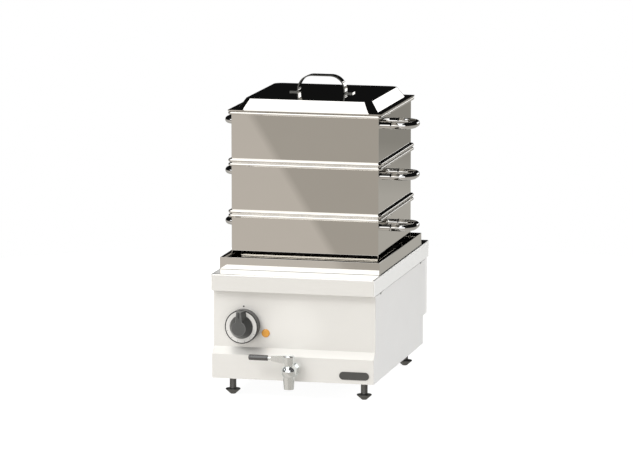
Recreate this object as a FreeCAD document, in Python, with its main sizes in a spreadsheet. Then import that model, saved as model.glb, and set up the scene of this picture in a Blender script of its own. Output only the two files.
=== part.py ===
import FreeCAD, Part
import math
import os
import Sketcher
from FreeCAD import Placement, Rotation, Vector

# Electric food steamer for a counter: a heated water tank in a sheet steel cabinet on four
# screw feet, three stacked steaming baskets and a lid.
# Millimetres. X points right, Y to the back, Z up. The origin is on the table, under the
# middle of the whole part's box.

doc = FreeCAD.newDocument("food_steamer")
sheet = doc.addObject("Spreadsheet::Sheet", "sizes")


# Numbers that remember the cells they came from

class Size:
    def __init__(self, text, value):
        self.text = text
        self.value = value

    def __add__(self, other):
        return join(self, "+", other)

    def __radd__(self, other):
        return join(other, "+", self)

    def __sub__(self, other):
        return join(self, "-", other)

    def __rsub__(self, other):
        return join(other, "-", self)

    def __mul__(self, other):
        return join(self, "*", other)

    def __rmul__(self, other):
        return join(other, "*", self)

    def __truediv__(self, other):
        return join(self, "/", other)

    def __neg__(self):
        return Size("(-1 * %s)" % self.text, -self.value)


def as_size(thing):
    if isinstance(thing, Size):
        return thing
    return Size(repr(float(thing)), float(thing))


def join(left, sign, right):
    left = as_size(left)
    right = as_size(right)
    results = {
        "+": lambda: left.value + right.value,
        "-": lambda: left.value - right.value,
        "*": lambda: left.value * right.value,
        "/": lambda: left.value / right.value,
    }
    return Size("(%s %s %s)" % (left.text, sign, right.text), results[sign]())


def root(size):
    return Size("sqrt(%s)" % size.text, math.sqrt(size.value))


row = 0


def size(name, number):
    global row
    row += 1
    sheet.set("A%d" % row, name)
    sheet.set("B%d" % row, str(number))
    sheet.setAlias("B%d" % row, name)
    return Size("sizes." + name, float(number))


# Baskets
basket_size = size("basket_size", 362.4)
basket_front = size("basket_front", 123.8)
basket_height = size("basket_height", 124.5)
basket_wall = size("basket_wall", 1.2)
basket_radius = size("basket_radius", 2)
bead_reach = size("bead_reach", 7.5)
bead_thickness = size("bead_thickness", 8)
bead_offset = size("bead_offset", 1)
bead_round = size("bead_round", 3.9)
bead_corner = size("bead_corner", 8.5)
floor_level = size("floor_level", 10)
floor_wall = size("floor_wall", 1.2)
nest_reach = size("nest_reach", 9)
nest_clearance = size("nest_clearance", 0.4)
nest_corner = size("nest_corner", 18)
floor_hole_radius = size("floor_hole_radius", 4.5)
floor_hole_pitch = size("floor_hole_pitch", 34)
floor_holes = size("floor_holes", 9)

# Cabinet
worktop_side_margin = size("worktop_side_margin", 3.3)
worktop_rear_margin = size("worktop_rear_margin", 127.8)
worktop_overhang = size("worktop_overhang", 14)
rear_step_depth = size("rear_step_depth", 45)
body_height = size("body_height", 252.4)
fascia_height = size("fascia_height", 40.4)
fascia_recess = size("fascia_recess", 18)
panel_inset = size("panel_inset", 1.8)
sheet_wall = size("sheet_wall", 1.5)
base_rim = size("base_rim", 12)
edge_radius = size("edge_radius", 3.5)
ledge_low = size("ledge_low", 59)
ledge_high = size("ledge_high", 75.1)
rear_step = size("rear_step", 70)
rear_flange = size("rear_flange", 24.5)
seat_gap = size("seat_gap", 0.3)

# Feet
foot_height = size("foot_height", 48)
foot_inset = size("foot_inset", 38)
foot_front = size("foot_front", 60)
foot_rear = size("foot_rear", 45)
foot_stud_radius = size("foot_stud_radius", 8.15)
foot_stud_reach = size("foot_stud_reach", 24)
foot_pad_radius = size("foot_pad_radius", 18)
foot_tip_radius = size("foot_tip_radius", 5.9)
foot_cone_height = size("foot_cone_height", 10.8)
foot_pad_edge = size("foot_pad_edge", 1.6)
foot_bush_radius = size("foot_bush_radius", 14)
foot_bush_height = size("foot_bush_height", 14)
run_clearance = size("run_clearance", 0.05)

# Tank, its gasket and collar
collar_side_gap = size("collar_side_gap", 13.5)
collar_end_gap = size("collar_end_gap", 51.7)
collar_height = size("collar_height", 29.1)
collar_wall = size("collar_wall", 2)
collar_radius = size("collar_radius", 1.2)
gasket_height = size("gasket_height", 1.5)
flange_height = size("flange_height", 2)
flange_width = size("flange_width", 11)
tank_wall = size("tank_wall", 1.2)
tank_radius = size("tank_radius", 4)
tank_clearance = size("tank_clearance", 0.6)

# Basket handles
handle_tube_radius = size("handle_tube_radius", 8.2)
handle_reach = size("handle_reach", 50)
handle_half_pitch = size("handle_half_pitch", 42)
handle_bend = size("handle_bend", 30)
handle_level = size("handle_level", 81)

# Lid
lid_edge = size("lid_edge", 2.5)
lid_rise = size("lid_rise", 24.4)
lid_wall = size("lid_wall", 1.5)
lid_side_wall = size("lid_side_wall", 2.25)
lid_foot_inset = size("lid_foot_inset", 9.2)
lid_top_inset = size("lid_top_inset", 26.2)
lid_foot_corner = size("lid_foot_corner", 25)
lid_top_corner = size("lid_top_corner", 20)
lid_edge_corner = size("lid_edge_corner", 4)
grip_half_span = size("grip_half_span", 58)
grip_foot_length = size("grip_foot_length", 20.5)
grip_height = size("grip_height", 44)
grip_bend = size("grip_bend", 36)
grip_foot_bend = size("grip_foot_bend", 4)
grip_strip = size("grip_strip", 3)
grip_width = size("grip_width", 26)

# Control knob
knob_inset = size("knob_inset", 76)
knob_level = size("knob_level", 127.5)
dial_radius = size("dial_radius", 40.4)
dial_depth = size("dial_depth", 25)
dial_wall = size("dial_wall", 2.4)
dial_gap = size("dial_gap", 0.8)
dial_plate_height = size("dial_plate_height", 1.2)
knob_base_radius = size("knob_base_radius", 28.5)
knob_face_radius = size("knob_face_radius", 17.5)
knob_height = size("knob_height", 28)
knob_edge = size("knob_edge", 1.2)
wing_reach = size("wing_reach", 39.5)
wing_base_half = size("wing_base_half", 12.8)
wing_base_tip_half = size("wing_base_tip_half", 10.5)
wing_face_half = size("wing_face_half", 8)
wing_face_tip_half = size("wing_face_tip_half", 5.8)
slot_width = size("slot_width", 2.2)
slot_length = size("slot_length", 15)
slot_depth = size("slot_depth", 1.6)
shaft_radius = size("shaft_radius", 3)
bush_radius = size("bush_radius", 6)
shaft_socket = size("shaft_socket", 16)
index_radius = size("index_radius", 1.3)
index_offset = size("index_offset", 46)
thermostat_size = size("thermostat_size", 42)
thermostat_depth = size("thermostat_depth", 28)

# Lamp and badge
lamp_offset = size("lamp_offset", 54)
lamp_level = size("lamp_level", 110.5)
lamp_radius = size("lamp_radius", 10)
lamp_dome = size("lamp_dome", 4)
lamp_edge = size("lamp_edge", 1.6)
lamp_barrel_radius = size("lamp_barrel_radius", 6.5)
lamp_barrel_length = size("lamp_barrel_length", 30)
badge_inset = size("badge_inset", 49)
badge_level = size("badge_level", 19.3)
badge_length = size("badge_length", 72.5)
badge_height = size("badge_height", 19)
badge_thickness = size("badge_thickness", 1.6)

# Drain valve
valve_offset = size("valve_offset", 36)
valve_level = size("valve_level", 30)
valve_ball_radius = size("valve_ball_radius", 18)
valve_barrel_radius = size("valve_barrel_radius", 15.5)
valve_collar_radius = size("valve_collar_radius", 18.6)
valve_collar_length = size("valve_collar_length", 7)
valve_stub_radius = size("valve_stub_radius", 9.2)
valve_stub_length = size("valve_stub_length", 22)
valve_bore = size("valve_bore", 6.5)
core_radius = size("core_radius", 11)
stem_radius = size("stem_radius", 4)
spout_top_radius = size("spout_top_radius", 13.6)
spout_end_radius = size("spout_end_radius", 11.8)
spout_start = size("spout_start", 19)
spout_length = size("spout_length", 23.5)
spout_bore = size("spout_bore", 9.2)
cap_radius = size("cap_radius", 13.8)
cap_start = size("cap_start", 20)
cap_height = size("cap_height", 20)
cap_edge = size("cap_edge", 4)
arm_root = size("arm_root", 18)
arm_reach = size("arm_reach", 43)
arm_width = size("arm_width", 12)
arm_tip_height = size("arm_tip_height", 12)
neck_radius = size("neck_radius", 4)
grip_rise = size("grip_rise", 1)
grip_start = size("grip_start", 51)
grip_length = size("grip_length", 47)
grip_radius = size("grip_radius", 6.7)
grip_socket = size("grip_socket", 28)
grip_edge = size("grip_edge", 2)
pipe_radius = size("pipe_radius", 12)
pipe_bend = size("pipe_bend", 26)
pipe_entry = size("pipe_entry", 190)
pipe_rise = size("pipe_rise", 44.7)

# Heating and wiring
element_radius = size("element_radius", 4.25)
element_half_gap = size("element_half_gap", 30)
element_x = size("element_x", 62)
element_length = size("element_length", 270)
element_level = size("element_level", 24)
element_tail = size("element_tail", 18)
element_collar_radius = size("element_collar_radius", 7.5)
element_collar_length = size("element_collar_length", 3)
element_flange_height = size("element_flange_height", 40)
element_flange_thickness = size("element_flange_thickness", 4)
element_flange_margin = size("element_flange_margin", 20)
contactor_inset = size("contactor_inset", 116)
contactor_width = size("contactor_width", 45)
contactor_depth = size("contactor_depth", 60)
contactor_height = size("contactor_height", 80)
contactor_foot = size("contactor_foot", 20)
contactor_step = size("contactor_step", 7.5)
terminal_inset = size("terminal_inset", 96)
terminal_length = size("terminal_length", 70)
terminal_depth = size("terminal_depth", 30)
terminal_height = size("terminal_height", 32)
terminal_step = size("terminal_step", 16)
terminal_shoulder = size("terminal_shoulder", 6)
terminal_well = size("terminal_well", 8)
terminal_way = size("terminal_way", 14)
terminal_ways = size("terminal_ways", 5)
wiring_front = size("wiring_front", 42)
limiter_offset = size("limiter_offset", 40)
limiter_radius = size("limiter_radius", 18)
limiter_head = size("limiter_head", 10)
limiter_stem_radius = size("limiter_stem_radius", 9)
limiter_length = size("limiter_length", 30)
gland_inset = size("gland_inset", 75)
gland_level = size("gland_level", 34)
gland_bore = size("gland_bore", 7)
gland_thread_radius = size("gland_thread_radius", 10)
gland_thread_reach = size("gland_thread_reach", 12)
gland_body_radius = size("gland_body_radius", 14)
gland_dome_radius = size("gland_dome_radius", 11.9)
gland_head_length = size("gland_head_length", 12)
gland_length = size("gland_length", 24)
gland_nut_length = size("gland_nut_length", 6)

# Screws
screw_radius = size("screw_radius", 1.6)
screw_head_radius = size("screw_head_radius", 3)
screw_face_radius = size("screw_face_radius", 1.8)
screw_head_height = size("screw_head_height", 1.6)
screw_length = size("screw_length", 7)
screw_front = size("screw_front", 75.4)
screw_rear = size("screw_rear", 76.8)
screw_drop = size("screw_drop", 3.4)
rear_screw_inset = size("rear_screw_inset", 14)
vent_width = size("vent_width", 6)
vent_length = size("vent_length", 90)
vent_pitch = size("vent_pitch", 16)
vent_count = size("vent_count", 6)

# Levels and planes that follow from the sizes
collar_width = basket_size + (collar_side_gap + collar_wall) * 2
collar_front = basket_front - collar_end_gap - collar_wall
collar_depth = basket_size + (collar_end_gap + collar_wall) * 2
body_width = collar_width + worktop_side_margin * 2
worktop_depth = basket_front + basket_size + worktop_rear_margin
cabinet_depth = worktop_depth - worktop_overhang
lower_depth = cabinet_depth - rear_step_depth
foot_x = body_width / 2 - foot_inset
foot_pitch = lower_depth - foot_front - foot_rear
knob_x = -(body_width / 2) + knob_inset
lamp_x = knob_x + lamp_offset
badge_x = body_width / 2 - badge_inset
contactor_x = body_width / 2 - contactor_inset
terminal_x = -(body_width / 2) + terminal_inset
gland_x = body_width / 2 - gland_inset
screw_pitch = cabinet_depth - screw_rear - screw_front
valve_reach = valve_offset + valve_ball_radius
front = -(worktop_depth - valve_reach) / 2
cabinet_bottom = foot_height
worktop_top = cabinet_bottom + body_height
fascia_bottom = worktop_top - fascia_height
panel_front = front + fascia_recess
panel_back = panel_front + sheet_wall
panel_half = body_width / 2 - panel_inset
panel_top = worktop_top - sheet_wall
rear_face = front + cabinet_depth
lower_rear_face = front + lower_depth
rear_step_level = cabinet_bottom + rear_step
side_end_upper = rear_face - rear_flange
side_end_lower = lower_rear_face - rear_flange
ledge_slope = (ledge_high - ledge_low) / fascia_recess
ledge_wall_drop = sheet_wall * root(1 + ledge_slope * ledge_slope)
ledge_inner_high = ledge_high - ledge_wall_drop
ledge_inner_low = ledge_low + ledge_slope * sheet_wall - ledge_wall_drop
basket_half = basket_size / 2
lid_foot_half = basket_half - lid_foot_inset
lid_top_half = basket_half - lid_top_inset
basket_middle = front + basket_front + basket_half
basket_seat = worktop_top + gasket_height + flange_height
nest_half = basket_half - basket_wall - nest_clearance
tank_half = nest_half + tank_clearance
tank_outer_half = tank_half + tank_wall
tank_front_face = basket_middle - tank_outer_half
bead_half = basket_half + bead_reach
knob_axis_level = cabinet_bottom + knob_level
valve_axis_level = cabinet_bottom + valve_level
valve_axis_front = front - valve_offset
tank_floor = valve_axis_level + pipe_rise + tank_wall
tank_depth = basket_seat - tank_floor
element_axis_level = tank_floor + element_level
pipe_bore = valve_stub_radius + seat_gap
side_screw_level = fascia_bottom - screw_drop
flange_half = tank_half + flange_width

# Deep enough to cut a hole right through a folded edge
hole_depth = sheet_wall * 4


# Making things

def bind(thing, name, amount):
    thing.setExpression(name, as_size(amount).text)


def place(thing, spot, rotation=None):
    values = [as_size(amount).value for amount in spot]
    thing.Placement = Placement(Vector(*values), rotation or Rotation())
    for letter, amount in zip("xyz", spot):
        bind(thing, "Placement.Base." + letter, amount)
    return thing


def box(name, corner, extent):
    thing = doc.addObject("Part::Box", name)
    for prop, amount in zip(("Length", "Width", "Height"), extent):
        bind(thing, prop, amount)
    return place(thing, corner)


# directions that a cylinder can run along
along_x = Rotation(Vector(0, 1, 0), 90)
along_back = Rotation(Vector(1, 0, 0), -90)
towards_front = Rotation(Vector(1, 0, 0), 90)


def cylinder(name, radius, length, spot, rotation=None):
    thing = doc.addObject("Part::Cylinder", name)
    bind(thing, "Radius", radius)
    bind(thing, "Height", length)
    return place(thing, spot, rotation)


def sphere(name, radius, spot):
    thing = doc.addObject("Part::Sphere", name)
    bind(thing, "Radius", radius)
    return place(thing, spot)


def cone(name, bottom_radius, top_radius, height, spot):
    thing = doc.addObject("Part::Cone", name)
    bind(thing, "Radius1", bottom_radius)
    bind(thing, "Radius2", top_radius)
    bind(thing, "Height", height)
    return place(thing, spot)


def fuse(name, pieces):
    thing = doc.addObject("Part::MultiFuse", name)
    thing.Shapes = pieces
    thing.Refine = True
    return thing


def group(name, pieces):
    thing = doc.addObject("Part::Compound", name)
    thing.Links = pieces
    return thing


def cut(name, base, tool):
    thing = doc.addObject("Part::Cut", name)
    thing.Base = base
    thing.Tool = tool
    return thing


def new_body(name, spot=(0, 0, 0), rotation=None):
    body = doc.addObject("PartDesign::Body", name)
    body.Label = name
    return place(body, spot, rotation)


def new_sketch(body, plane, offset=0):
    sketch = body.newObject("Sketcher::SketchObject", body.Name + "_sketch")
    planes = [item for item in body.Origin.OriginFeatures if item.Role == plane]
    sketch.AttachmentSupport = [(planes[0], "")]
    sketch.MapMode = "FlatFace"
    bind(sketch, "AttachmentOffset.Base.z", offset)
    return sketch


def pin_point(sketch, curve, end, point, ways=("DistanceX", "DistanceY")):
    for kind, amount in zip(ways, point):
        amount = as_size(amount)
        number = sketch.addConstraint(Sketcher.Constraint(kind, -1, 1, curve, end, amount.value))
        sketch.setExpression("Constraints[%d]" % number, amount.text)


def flat(point):
    return Vector(as_size(point[0]).value, as_size(point[1]).value, 0)


def add_line(sketch, start, finish):
    return sketch.addGeometry(Part.LineSegment(flat(start), flat(finish)), False)


# an outline is a list of points, joined by straight lines
def draw_outline(sketch, points):
    count = len(points)
    lines = [add_line(sketch, points[i], points[(i + 1) % count]) for i in range(count)]
    for i in range(count):
        sketch.addConstraint(Sketcher.Constraint("Coincident", lines[i], 2, lines[(i + 1) % count], 1))
        pin_point(sketch, lines[i], 1, points[i])


def draw_rectangle(sketch, low, high):
    draw_outline(sketch, [low, (high[0], low[1]), high, (low[0], high[1])])


def draw_circle(sketch, centre, radius):
    radius = as_size(radius)
    curve = sketch.addGeometry(Part.Circle(flat(centre), Vector(0, 0, 1), radius.value), False)
    number = sketch.addConstraint(Sketcher.Constraint("Radius", curve, radius.value))
    sketch.setExpression("Constraints[%d]" % number, radius.text)
    pin_point(sketch, curve, 3, centre)


# a route is a start point and steps: a point to run to, or a point and the centre of a
# quarter turn that leads there
def draw_route(sketch, start, steps, closed=False):
    here = start
    previous = None
    first = None
    for step in steps:
        there = step[0]
        if len(step) == 1:
            curve = add_line(sketch, here, there)
            entry, leave = 1, 2
        else:
            curve, entry, leave = add_turn(sketch, here, there, step[1])
        if previous is None:
            first = (curve, entry)
            pin_point(sketch, curve, entry, start)
        else:
            sketch.addConstraint(
                Sketcher.Constraint("Coincident", previous[0], previous[1], curve, entry))
        if closed and step is steps[-1]:
            sketch.addConstraint(Sketcher.Constraint("Coincident", curve, leave, first[0], first[1]))
        else:
            pin_point(sketch, curve, leave, there)
        previous = (curve, leave)
        here = there


def add_turn(sketch, start, finish, centre):
    a = flat(start) - flat(centre)
    b = flat(finish) - flat(centre)
    middle = (a + b).normalize() * a.Length + flat(centre)
    arc = Part.Arc(flat(start), middle, flat(finish))
    curve = sketch.addGeometry(arc, False)
    pin_point(sketch, curve, 3, centre, ["DistanceX"])
    starts_there = sketch.getPoint(curve, 1).isEqual(flat(start), 1e-6)
    return (curve, 1, 2) if starts_there else (curve, 2, 1)


# a rectangle with round corners, about a middle point
def draw_rounded(sketch, middle, half_x, half_y, corner):
    x, y = middle
    low_x, high_x = x - half_x, x + half_x
    low_y, high_y = y - half_y, y + half_y
    steps = [
        [(high_x - corner, low_y)],
        [(high_x, low_y + corner), (high_x - corner, low_y + corner)],
        [(high_x, high_y - corner)],
        [(high_x - corner, high_y), (high_x - corner, high_y - corner)],
        [(low_x + corner, high_y)],
        [(low_x, high_y - corner), (low_x + corner, high_y - corner)],
        [(low_x, low_y + corner)],
        [(low_x + corner, low_y), (low_x + corner, low_y + corner)],
    ]
    draw_route(sketch, (low_x + corner, low_y), steps, closed=True)


def add_pad(body, sketch, length, reverse=False, both_ways=False):
    feature = body.newObject("PartDesign::Pad", body.Name + "_pad")
    feature.Profile = sketch
    bind(feature, "Length", length)
    feature.Reversed = reverse
    feature.Midplane = both_ways
    body.Tip = feature
    return feature


def add_pocket(body, sketch, length=None, reverse=False, both_ways=False):
    feature = body.newObject("PartDesign::Pocket", body.Name + "_pocket")
    feature.Profile = sketch
    feature.Reversed = reverse
    feature.Midplane = both_ways
    if length is None:
        feature.Type = "ThroughAll"
    else:
        bind(feature, "Length", length)
    body.Tip = feature
    return feature


def add_revolution(body, sketch, axis="V_Axis"):
    feature = body.newObject("PartDesign::Revolution", body.Name + "_revolution")
    feature.Profile = sketch
    feature.ReferenceAxis = (sketch, [axis])
    feature.Angle = 360
    body.Tip = feature
    return feature


def add_loft(body, kind, first, last):
    feature = body.newObject(kind, body.Name + "_loft")
    feature.Profile = first
    feature.Sections = [last]
    feature.Ruled = True
    body.Tip = feature
    return feature


def add_pipe(body, profile, spine):
    feature = body.newObject("PartDesign::AdditivePipe", body.Name + "_pipe")
    feature.Profile = profile
    feature.Spine = (spine, [])
    feature.Transition = "Right corner"
    body.Tip = feature
    return feature


def add_fillet(body, radius, wanted):
    doc.recompute()
    base = body.Tip
    names = []
    for number, edge in enumerate(base.Shape.Edges, 1):
        if wanted(edge):
            names.append("Edge%d" % number)
    feature = body.newObject("PartDesign::Fillet", body.Name + "_fillet")
    feature.Base = (base, names)
    bind(feature, "Radius", radius)
    body.Tip = feature
    return feature


near = 0.01


def is_upright(edge):
    box_of_edge = edge.BoundBox
    return box_of_edge.ZLength > near and box_of_edge.XLength < near and box_of_edge.YLength < near


def is_level_at(edge, level):
    box_of_edge = edge.BoundBox
    return abs(box_of_edge.ZMin - level) < near and abs(box_of_edge.ZMax - level) < near


# from an edge's middle to an upright axis, the larger of the two ways
def reach_from(edge, x, y):
    middle = edge.BoundBox.Center
    return max(abs(middle.x - x), abs(middle.y - y))


parts = []


def keep(thing, label=None):
    if label:
        thing.Label = label
    parts.append(thing)
    return thing


# Worktop: a pressed tray, open below, with a folded return behind its front

def make_worktop():
    body = new_body("worktop", (0, front, fascia_bottom))
    half = body_width / 2
    outer = new_sketch(body, "XY_Plane")
    draw_rectangle(outer, (-half, 0), (half, worktop_depth))
    add_pad(body, outer, fascia_height)
    doc.recompute()

    def is_outer(edge):
        return is_upright(edge) or is_level_at(edge, fascia_height.value)

    add_fillet(body, edge_radius, is_outer)
    inner = new_sketch(body, "XY_Plane")
    draw_rectangle(inner, (-half + sheet_wall, sheet_wall),
                   (half - sheet_wall, worktop_depth - sheet_wall))
    add_pocket(body, inner, fascia_height - sheet_wall, reverse=True)
    for start, end in ((sheet_wall, fascia_recess), (cabinet_depth, worktop_depth - sheet_wall)):
        lip = new_sketch(body, "XY_Plane")
        draw_rectangle(lip, (-half + sheet_wall, start), (half - sheet_wall, end))
        add_pad(body, lip, sheet_wall)
    opening = new_sketch(body, "XY_Plane", fascia_height - sheet_wall * 2)
    opening_half = tank_outer_half + seat_gap
    draw_rounded(opening, (0, basket_middle - front), opening_half, opening_half,
                 tank_radius + tank_wall + seat_gap)
    add_pocket(body, opening, hole_depth, reverse=True)
    keep(body)


# Collar: four thin walls that stand on the worktop round the tank

def make_collar():
    body = new_body("tank_collar", (0, front, worktop_top))
    half = collar_width / 2
    outer = new_sketch(body, "XY_Plane")
    draw_rectangle(outer, (-half, collar_front), (half, collar_front + collar_depth))
    add_pad(body, outer, collar_height)
    add_fillet(body, collar_radius, is_upright)
    inner = new_sketch(body, "XY_Plane")
    draw_rectangle(inner, (-half + collar_wall, collar_front + collar_wall),
                   (half - collar_wall, collar_front + collar_depth - collar_wall))
    add_pocket(body, inner, reverse=True)
    keep(body)


# Tank: a deep basin under a flat flange that hangs in the worktop

def make_gasket():
    body = new_body("tank_gasket", (0, basket_middle, worktop_top))
    ring = new_sketch(body, "XY_Plane")
    opening_half = tank_outer_half + seat_gap
    draw_rounded(ring, (0, 0), flange_half, flange_half, tank_radius)
    draw_rounded(ring, (0, 0), opening_half, opening_half, tank_radius + tank_wall + seat_gap)
    add_pad(body, ring, gasket_height)
    keep(body)


def make_tank_flange():
    body = new_body("tank_flange", (0, basket_middle, basket_seat - flange_height))
    ring = new_sketch(body, "XY_Plane")
    draw_rounded(ring, (0, 0), flange_half, flange_half, tank_radius)
    draw_rounded(ring, (0, 0), tank_half, tank_half, tank_radius)
    add_pad(body, ring, flange_height)
    keep(body)


def make_tank():
    body = new_body("water_tank", (0, basket_middle, tank_floor))
    basin = new_sketch(body, "XY_Plane", -tank_wall)
    draw_rounded(basin, (0, 0), tank_outer_half, tank_outer_half, tank_radius + tank_wall)
    add_pad(body, basin, tank_depth + tank_wall - flange_height)
    inside = new_sketch(body, "XY_Plane", tank_depth)
    draw_rounded(inside, (0, 0), tank_half, tank_half, tank_radius)
    add_pocket(body, inside, tank_depth)
    outlet = new_sketch(body, "XY_Plane")
    draw_circle(outlet, (0, front + pipe_entry - basket_middle), pipe_bore)
    add_pocket(body, outlet, hole_depth, both_ways=True)
    tails = new_sketch(body, "XZ_Plane", tank_half)
    for x in element_legs():
        draw_circle(tails, (x, element_level), element_radius + seat_gap)
    add_pocket(body, tails, hole_depth, both_ways=True)
    keep(body)


def element_legs():
    legs = []
    for side in (-1, 1):
        for leg in (-1, 1):
            legs.append(side * element_x + leg * element_half_gap)
    return legs


# Side panels: the outline steps back above the ledge and out again at the rear

def make_side_panel(name, outer_x):
    body = new_body(name, (outer_x, front, cabinet_bottom))
    step_back = fascia_recess + sheet_wall
    profile = new_sketch(body, "YZ_Plane")
    draw_outline(profile, [
        (sheet_wall, 0),
        (side_end_lower - front, 0),
        (side_end_lower - front, rear_step),
        (side_end_upper - front, rear_step),
        (side_end_upper - front, panel_top - cabinet_bottom),
        (step_back, panel_top - cabinet_bottom),
        (step_back, ledge_inner_high),
        (fascia_recess, ledge_inner_high),
        (sheet_wall, ledge_inner_low),
    ])
    add_pad(body, profile, sheet_wall)
    holes = new_sketch(body, "YZ_Plane")
    for y in (screw_front, screw_front + screw_pitch):
        draw_circle(holes, (y, side_screw_level - cabinet_bottom), screw_radius + seat_gap)
    add_pocket(body, holes, hole_depth, both_ways=True)
    keep(body)


# Rear: a hooded cover above, a folded panel below

def folded_back(name, bottom, top, back, reach, foot_plate=None):
    body = new_body(name, (0, back, bottom))
    inner = panel_half - sheet_wall
    profile = new_sketch(body, "XY_Plane")
    draw_outline(profile, [
        (-panel_half, 0), (-panel_half, -reach), (-inner, -reach), (-inner, -sheet_wall),
        (inner, -sheet_wall), (inner, -reach), (panel_half, -reach), (panel_half, 0),
    ])
    add_pad(body, profile, top - bottom)
    if foot_plate is not None:
        plate = new_sketch(body, "XY_Plane")
        draw_rectangle(plate, (-inner, -foot_plate), (inner, -sheet_wall))
        add_pad(body, plate, sheet_wall)
    return body


def rear_screw_spots():
    spots = []
    for side in (-1, 1):
        for level in (rear_step_level + rear_screw_inset, fascia_bottom - rear_screw_inset):
            spots.append((side * (panel_half - rear_screw_inset), level))
    return spots


def make_rear():
    cover = folded_back("rear_cover", rear_step_level, panel_top, rear_face, rear_flange,
                        rear_face - lower_rear_face + sheet_wall)
    holes = new_sketch(cover, "XZ_Plane")
    for x, level in rear_screw_spots():
        draw_circle(holes, (x, level - rear_step_level), screw_radius + seat_gap)
    add_pocket(cover, holes, hole_depth, both_ways=True)
    keep(cover)
    panel = folded_back("rear_panel", cabinet_bottom, rear_step_level, lower_rear_face, rear_flange)
    inlet = new_sketch(panel, "XZ_Plane")
    draw_circle(inlet, (gland_x, gland_level), gland_thread_radius + seat_gap)
    add_pocket(panel, inlet, hole_depth, both_ways=True)
    keep(panel)


# Front: the control panel behind the fascia and the lower panel with its sloping ledge

def make_front():
    panel = new_body("control_panel", (0, panel_back, cabinet_bottom))
    plate = new_sketch(panel, "XZ_Plane")
    draw_rectangle(plate, (-panel_half, ledge_inner_high), (panel_half, panel_top - cabinet_bottom))
    add_pad(panel, plate, sheet_wall)
    holes = new_sketch(panel, "XZ_Plane")
    draw_circle(holes, (knob_x, knob_level), bush_radius + seat_gap)
    draw_circle(holes, (lamp_x, lamp_level), lamp_barrel_radius + seat_gap)
    add_pocket(panel, holes, hole_depth, both_ways=True)
    keep(panel)

    lower = new_body("lower_front_panel", (-panel_half, front, cabinet_bottom))
    profile = new_sketch(lower, "YZ_Plane")
    draw_outline(profile, [
        (0, 0), (sheet_wall, 0), (sheet_wall, ledge_inner_low),
        (fascia_recess, ledge_inner_high), (fascia_recess, ledge_high), (0, ledge_low),
    ])
    add_pad(lower, profile, panel_half * 2)
    hole = new_sketch(lower, "XZ_Plane")
    draw_circle(hole, (panel_half, valve_level), valve_stub_radius + seat_gap)
    add_pocket(lower, hole, hole_depth, both_ways=True)
    keep(lower)


# Base: a flat pan with foot holes and two rows of vents

def make_base():
    inner = panel_half - sheet_wall
    start = sheet_wall
    body = new_body("base_plate", (0, front, cabinet_bottom))
    plate = new_sketch(body, "XY_Plane")
    draw_rectangle(plate, (-inner, start), (inner, lower_depth - sheet_wall))
    add_pad(body, plate, base_rim)
    hollow = new_sketch(body, "XY_Plane", sheet_wall)
    draw_rectangle(hollow, (-inner + sheet_wall, start + sheet_wall),
                   (inner - sheet_wall, lower_depth - sheet_wall * 2))
    add_pocket(body, hollow, base_rim, reverse=True)
    holes = new_sketch(body, "XY_Plane")
    for x, y in foot_spots():
        draw_circle(holes, (x, y - front), foot_stud_radius + seat_gap)
    add_pocket(body, holes, hole_depth, both_ways=True)
    vent = new_sketch(body, "XY_Plane")
    middle = foot_front + foot_pitch / 2
    draw_rectangle(vent, (-vent_length / 2, middle), (vent_length / 2, middle + vent_width))
    slot = add_pocket(body, vent, hole_depth, both_ways=True)
    doc.recompute()
    row_of_vents = body.newObject("PartDesign::LinearPattern", "vent_row")
    row_of_vents.Originals = [slot]
    row_of_vents.Direction = (vent, ["V_Axis"])
    row_of_vents.Mode = "Spacing"
    bind(row_of_vents, "Offset", vent_pitch)
    bind(row_of_vents, "Occurrences", vent_count)
    body.Tip = row_of_vents
    keep(body)


def foot_spots():
    spots = []
    for y in (front + foot_front, front + foot_front + foot_pitch):
        for x in (-foot_x, foot_x):
            spots.append((x, y))
    return spots


foot_names = ("foot_front_left", "foot_front_right", "foot_rear_left", "foot_rear_right")


# Screw foot: a stud on a pad that narrows to its tip

def make_foot(name, x, y):
    body = new_body(name, (x, y, 0))
    top = foot_cone_height + foot_pad_edge
    profile = new_sketch(body, "XZ_Plane")
    draw_outline(profile, [
        (0, 0), (foot_tip_radius, 0), (foot_pad_radius, foot_cone_height),
        (foot_pad_radius, top), (foot_stud_radius, top + foot_pad_edge),
        (foot_stud_radius, foot_height + foot_stud_reach), (0, foot_height + foot_stud_reach),
    ])
    add_revolution(body, profile)
    keep(body)


def make_foot_bushes():
    bushes = []
    for name, (x, y) in zip(foot_names, foot_spots()):
        spot = (x, y, cabinet_bottom + sheet_wall)
        sleeve = cylinder(name + "_sleeve", foot_bush_radius, foot_bush_height, spot)
        bore = cylinder(name + "_bore", foot_stud_radius + run_clearance, foot_bush_height, spot)
        bushes.append(cut(name + "_bush", sleeve, bore))
    keep(group("foot_bushes", bushes), "foot_bushes")


# Basket: an open box of sheet with a rolled bead along its top and bottom edges

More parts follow.
